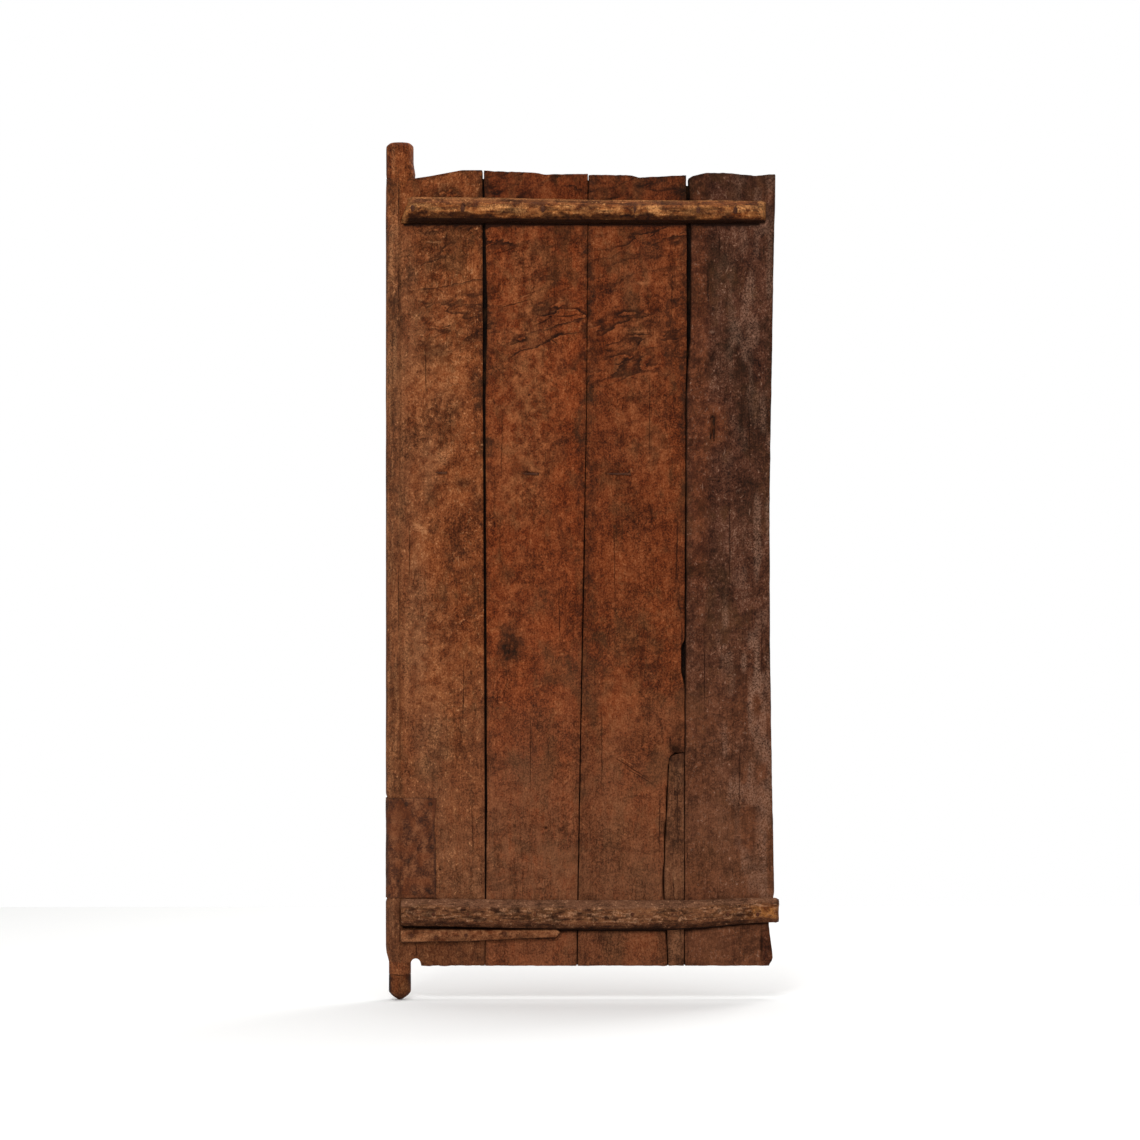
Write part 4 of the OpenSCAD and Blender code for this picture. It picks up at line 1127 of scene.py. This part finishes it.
def make_rail():
    seed = 107
    low, high = corners("outer_rail")
    x, z, _, points, quads = slab(
        low.x, high.x, lambda x: low.z + 0.7 * np.sin(x / 70), lambda x: high.z - 0.6 * np.sin(x / 95),
        BACK - 0.2, high.y, seed, (230, 9, 16), arris=4.0, hewing=1.0)
    tones = srgb(58, 28, 13), srgb(96, 55, 33), srgb(128, 84, 58), srgb(158, 116, 88)
    material = wood("rail_wood", tones, along="x", fibrous=0.8)
    piece("outer_rail_bar", "outer_rail", "rail_wood", points, quads, material,
          dark=np.maximum(0.4 * smooth(0.6, 0.85, noise(x / 30, z / 9, seed + 4)),
                          0.4 * smooth(12, 0, np.minimum(x - low.x, high.x - x))),
          warm=0.35 * noise(x / 90, z / 20, seed + 5),
          pale=0.35 * smooth(0.62, 0.8, noise(x / 40, z / 9, seed + 6)), dust=0.25 + 0 * x)


# ---------------------------------------------------------------- iron

def patch_path(lift, count):
    """Places along the sheet in plan, from the outer face round the rim to the inner face."""
    turn = np.linspace(np.pi / 2, 3 * np.pi / 2, 48)
    r = RIM_R + lift
    outer = [(PATCH_REACH * 0.62, BACK + lift), (STEP_X, BACK + lift)]
    inner = [(STEP_X, FACE - lift), (PATCH_REACH, FACE - lift)]
    points = np.array(outer + list(zip(r * np.cos(turn), r * np.sin(turn))) + inner)
    far = np.concatenate([[0], np.cumsum(np.hypot(*np.diff(points, axis=0).T))])
    place = np.linspace(0, far[-1], count)
    return np.stack([np.interp(place, far, points[:, 0]), np.interp(place, far, points[:, 1])])


def make_patch():
    seed = 113
    thick = -corners("edge_patch")[0].x - RIM_R
    count = 110
    u, s, v, quads = shell(np.arange(count), [0, 1], steps(70, 0.1))
    at = u.astype(int)
    outer, inner = patch_path(thick, count)[:, at], patch_path(0.15, count)[:, at]
    z = PATCH_LOW + (PATCH_TOP - PATCH_LOW) * v
    buckle = 0.35 + 0.7 * fractal(u / 16, z / 34, seed) + 0.25 * fractal(u / 4, z / 9, seed + 1)
    way = (outer - inner) / np.hypot(*(outer - inner))
    x, y = np.where(s == 0, outer, inner) + np.clip(buckle, 0, 0.9) * way
    ragged = 1.6 * fractal(z / 20, z * 0, seed + 2) - 3.5 * blot(z, z * 0, (332, 0, 22, 1, 0), 0.5)
    x = x + ragged * smooth(count - 12, count - 1, u)
    z = z + 1.1 * fractal(u / 9, u * 0, seed + 3) * (smooth(0.05, 0, v) + smooth(0.95, 1, v))
    front = y < 0
    tacks = [0.4 * front * blot(x, z, (*tack, 7, 7, 0), 0.8) for tack in TACKS_IN]
    tones = srgb(44, 20, 9), srgb(92, 50, 28), srgb(132, 82, 52)
    material = rusty_iron("patch_rust", tones, metallic=0.0, rough=0.85, depth=0.0006)
    piece("edge_patch_sheet", "edge_patch", "patch_iron", np.stack([x, y, z], 1), quads, material,
          # Dark: rust and tack marks, with painted shade where the sheet wraps round the rim's far left, and
          # painted shadow lines along its right, top and bottom edges.
          dark=painter(x, z, front)(0.7 * smooth(-16, -26, x) * smooth(0, -12, y), *tacks,
                                    0.75 * smooth(count - 5, count - 1, u),
                                    0.6 * front * smooth(50, 62, x) * smooth(352, 376, z),
                                    0.3 * smooth(0.5, 0.8, noise(x / 9 + 40, z / 9, seed + 6)),
                                    0.5 * smooth(3, 0, np.minimum(z - PATCH_LOW, PATCH_TOP - z))),
          warm=0.5 * smooth(0.45, 0.75, noise(x / 14 + 60, z / 17, seed + 7)))


def forged_head(x, y, z, way, r, rise, tall, seed):
    """A hammered nail head standing on y and facing way (-1 toward the inner side)."""
    rng = np.random.default_rng(seed)
    spots = [(-1.2, 0.9), (0.0, 1.0), (0.45, 0.97), (0.8, 0.72), (1.0, 0.32)]
    path = [(x, y + way * rise * t, z) for t, _ in spots]
    points, faces = tube(path, [r * k for _, k in spots], 12, tall, (0, 0, 1))
    points[:, 0] += rng.normal(0, r * 0.05, len(points))
    points[:, 2] += rng.normal(0, r * 0.05, len(points))
    return points, faces


def bent_tip(x, y, z, way, length, side, seed):
    """A nail's flattened tip, bent over along X and driven a little into the wood."""
    rng = np.random.default_rng(seed)
    t = np.linspace(0, 1, 10)
    rise = way * (2.0 * np.sin(np.pi * np.minimum(t * 1.15, 1)) ** 0.7 + 0.2)
    path = np.stack([x + side * (length + 3) * (t - 0.12), y + rise,
                     z + rng.normal(0, 0.8) * t ** 2], 1)
    return tube(path, 2.7 * (1 - 0.65 * t ** 2), 8, 0.55)


def make_nails():
    iron = rusty_iron("nail_rust", (srgb(34, 17, 9), srgb(58, 31, 17), srgb(92, 54, 32)),
                      metallic=0.0)
    # Each group's places, the side its heads are on, their radius and height, and its rust.
    groups = (("top_ledge", TOP_NAILS, -1, 4.4, 1.55, 0.2),
              ("bottom_ledge", BOTTOM_NAILS, -1, 3.6, 1.15, 0.35),
              ("lath", LATH_NAILS, -1, 3.6, 1.15, 0.35),
              ("rail", RAIL_NAILS, 1, 3.6, 1.15, 0.2))
    for number, (group, nails, way, r, tall, rust) in enumerate(groups):
        far_side = BACK if way < 0 else FACE
        parts = []
        for k, (x, z, crown, clench) in enumerate(nails):
            seed = 1000 + 50 * number + k
            parts.append(forged_head(x, crown, z, way, r, 1.6, tall, seed))
            parts.append(bent_tip(x, far_side + way * 0.2, z, -way, clench, -way, seed + 25))
        points, faces = joined(parts)
        piece(group + "_forged_nails", group + "_nails", "nail_iron", points, faces, iron,
              warm=np.full(len(points), rust))
    tacks = [(tack, FACE - 2.4, -1, 1400 + k) for k, tack in enumerate(TACKS_IN)]
    tacks += [(tack, BACK + 2.4, 1, 1450 + k) for k, tack in enumerate(TACKS_OUT)]
    points, faces = joined([forged_head(x, y, z, way, 4.2, 1.5, 1.0, seed)
                            for (x, z), y, way, seed in tacks])
    piece("patch_forged_tacks", "patch_tacks", "nail_iron", points, faces, iron)


def torus(centre, r, bar, seed, axis="x", around=120, sides=20):
    """A forged ring: points and faces."""
    a = np.linspace(0, 2 * np.pi, around, endpoint=False)[:, None]
    b = np.linspace(0, 2 * np.pi, sides, endpoint=False)[None]
    thick = bar + 0.24 * fractal(np.cos(a) * 3 + 9, np.sin(a) * 3 + b * 0.6 + 9, seed)
    reach = r + thick * np.cos(b)
    flat = {"x": (thick * np.sin(b), reach * np.cos(a), reach * np.sin(a)),
            "y": (reach * np.cos(a), thick * np.sin(b), reach * np.sin(a))}[axis]
    rows = np.stack(np.broadcast_arrays(*flat), -1) + np.array(centre)
    index = np.arange(around * sides).reshape(around, sides)
    right, above = np.roll(index, -1, 0), np.roll(index, -1, 1)
    quads = np.stack([index, right, np.roll(right, -1, 1), above], -1).reshape(-1, 4)
    if axis == "y":
        quads = quads[:, ::-1]
    return rows.reshape(-1, 3), quads.tolist()


def curve(points, count):
    """A smooth line through the points, as Catmull-Rom pieces."""
    p = np.array(points, float)
    p = np.concatenate([2 * p[:1] - p[1:2], p, 2 * p[-1:] - p[-2:-1]])
    t = np.linspace(0, len(points) - 1.0001, count)
    k = t.astype(int)
    f = (t - k)[:, None]
    a, b, c, d = p[k], p[k + 1], p[k + 2], p[k + 3]
    return 0.5 * (2 * b + (c - a) * f + (2 * a - 5 * b + 4 * c - d) * f ** 2 +
                  (3 * b - a - 3 * c + d) * f ** 3)


def rust_spots(points, seed):
    """Masks with rust in patches, and dark iron on the inner side."""
    x, y, z = points.T
    return {"warm": 0.4 * smooth(0.5, 0.75, noise(x / 7 + 40, (y + z) / 8 + 40, seed)),
            "dark": smooth(FACE + 8, FACE + 2, y)}


def make_cotter(x, y, z):
    """The split cotter: an eye round the joint's place, and two legs bent down on the inner face."""
    iron = rusty_iron("latch_rust", (srgb(28, 16, 10), srgb(54, 33, 23), srgb(104, 72, 52)),
                      metallic=0.0, rough=0.75, shine=0.03)
    eye_bar = 2.75
    eye_r = corners("latch_cotter")[1].y - y - eye_bar
    parts = [torus((x, y, z), eye_r, eye_bar, 5, "x", 72, 16)]
    for side, drop, spread in ((-1, 40, 5.2), (1, 44, -0.4)):
        leg = x + side * 1.6
        path = [(x + side * 1.44, y - eye_r, z), (leg, 10, z), (leg, FACE + 1, z),
                (leg, FACE - 3.4, z - 0.6), (leg, FACE - 4.6, z - 4), (leg, FACE - 3.6, z - 9),
                (x + side * 1.76, FACE - 1.4, z - 16), (leg - spread * 0.5, FACE - 0.6, z - 28),
                (leg - spread * 0.7, FACE + 0.6, z - drop)]
        parts.append(tube(curve(path, 40), 2.3 - 0.9 * smooth(0.75, 1, np.linspace(0, 1, 40)), 12))
    points, faces = joined(parts)
    piece("latch_cotter_forged", "latch_cotter", "forged_iron", points, faces, iron,
          **rust_spots(points, 65))


def make_rose(x, z, iron):
    low, high = corners("ring_rose")
    r = (high.x - low.x) / 2
    profile = [(-0.6, 0.9), (0.2, 1), (1.0, 1), (1.7, 0.93), (1.95, 0.6), (2.05, 0.3)]
    points, faces = tube([(x, BACK + y, z) for y, _ in profile], [r * k for _, k in profile],
                         40, 1.0, (0, 0, 1))
    off_x, off_z = points[:, 0] - x, points[:, 2] - z
    wave = 1 + 0.05 * fractal(np.arctan2(off_z, off_x) * 2 + 9, points[:, 1] * 0, 8)
    points[:, 0], points[:, 2] = x + off_x * wave, z + off_z * wave
    piece("ring_rose_forged", "ring_rose", "forged_iron", points, faces, iron,
          **rust_spots(points, 66))


def make_latch():
    x, y, z = (v / MM for v in frame["joints"][0]["pos_m"])
    make_cotter(x, y, z)
    iron = rusty_iron("ring_iron", (srgb(25, 15, 9), srgb(48, 31, 21), srgb(98, 72, 52)),
                      metallic=0.22, rough=0.55)
    make_rose(x, z, iron)
    low, high = corners("pull_ring")
    bar = (high.y - low.y) / 2
    points, faces = torus((low + high) / 2, (high.x - low.x) / 2 - bar, bar - 0.3, 6, "y")
    piece("pull_ring_forged", "pull_ring", "forged_iron", points, faces, iron, "ring",
          **rust_spots(points, 64))


def make_tongues():
    # Near black: painted shadow for the gaps between the planks, where the tongues show.
    tones = srgb(10, 5, 3), srgb(20, 10, 6), srgb(32, 18, 11), srgb(44, 26, 17)
    material = wood("tongue_wood", tones)
    for node in ("hanging_tongue", "middle_tongue", "leading_tongue"):
        made = frame["nodes"][node]
        made.data.materials.clear()
        made.data.materials.append(material)


# ---------------------------------------------------------------- floor, light and camera

def floor_paint():
    n = Nodes("floor_pale")
    colour, faint = (0.93, 0.93, 0.92), 0.99
    cloud = n.noise((2, 2, 2), 2, 0.5)
    n.link(n.mix(cloud, colour, tuple(c * faint for c in colour)), n.shader.inputs["Base Color"])
    n.shader.inputs["Roughness"].default_value = 0.9
    return n.material


def make_floor():
    half, gap = 2.2, 0.0005
    x, z = (cad_low.x + cad_high.x) / 2, cad_low.z - gap
    mesh = bpy.data.meshes.new("floor")
    mesh.from_pydata([(x + half * right, half * far, z)
                      for right, far in ((-1, -1), (1, -1), (1, 1), (-1, 1))], [], [(0, 1, 2, 3)])
    mesh.materials.append(floor_paint())
    floor = bpy.data.objects.new("floor", mesh)
    bpy.context.scene.collection.objects.link(floor)


def make_world():
    world = bpy.data.worlds.new("studio")
    bpy.context.scene.world = world
    world.use_nodes = True
    tree = world.node_tree
    back = tree.nodes["Background"]
    path = tree.nodes.new("ShaderNodeLightPath")
    power = tree.nodes.new("ShaderNodeMapRange")
    tree.links.new(path.outputs["Is Camera Ray"], power.inputs["Value"])
    power.inputs["To Min"].default_value = 0.62
    power.inputs["To Max"].default_value = 1.0
    tree.links.new(power.outputs["Result"], back.inputs["Strength"])
    back.inputs["Color"].default_value = (1, 1, 1, 1)


def make_light(name, place, target, size, power):
    data = bpy.data.lights.new(name, "AREA")
    data.shape = "RECTANGLE"
    data.size, data.size_y = size
    data.energy = power
    light = bpy.data.objects.new(name, data)
    light.location = place
    light.rotation_euler = (Vector(target) - Vector(place)).to_track_quat("-Z", "Y").to_euler()
    bpy.context.scene.collection.objects.link(light)


def make_camera():
    """Square on to the inner face, from far enough away to be nearly parallel."""
    view_width, distance = 2.28, 8.0
    view_x, view_z = 0.341, 0.844
    data = bpy.data.cameras.new("camera")
    data.sensor_width = 36
    data.lens = data.sensor_width * distance / view_width
    camera = bpy.data.objects.new("camera", data)
    camera.location = (view_x, FACE * MM - distance, view_z)
    camera.rotation_euler = (math.pi / 2, 0, 0)
    bpy.context.scene.collection.objects.link(camera)
    bpy.context.scene.camera = camera


def make_studio():
    make_floor()
    make_world()
    middle = (0.36, 0, 0.85)
    make_light("key", (-0.3, -4.4, 3.4), middle, (1.4, 1.1), 105)
    make_light("fill", (2.6, 3.0, 2.4), middle, (2.0, 2.0), 60)
    make_light("sky", (0.36, 0.2, 4.5), middle, (3.0, 3.0), 70)
    scene = bpy.context.scene
    scene.view_settings.view_transform = "Standard"
    scene.view_settings.look = "None"


make_hanging_plank()
make_second_plank()
make_third_plank()
make_leading_plank()
make_filler()
make_tongues()
make_top_ledge()
make_bottom_ledge()
make_lath()
make_rail()
make_patch()
make_nails()
make_latch()
make_camera()
make_studio()
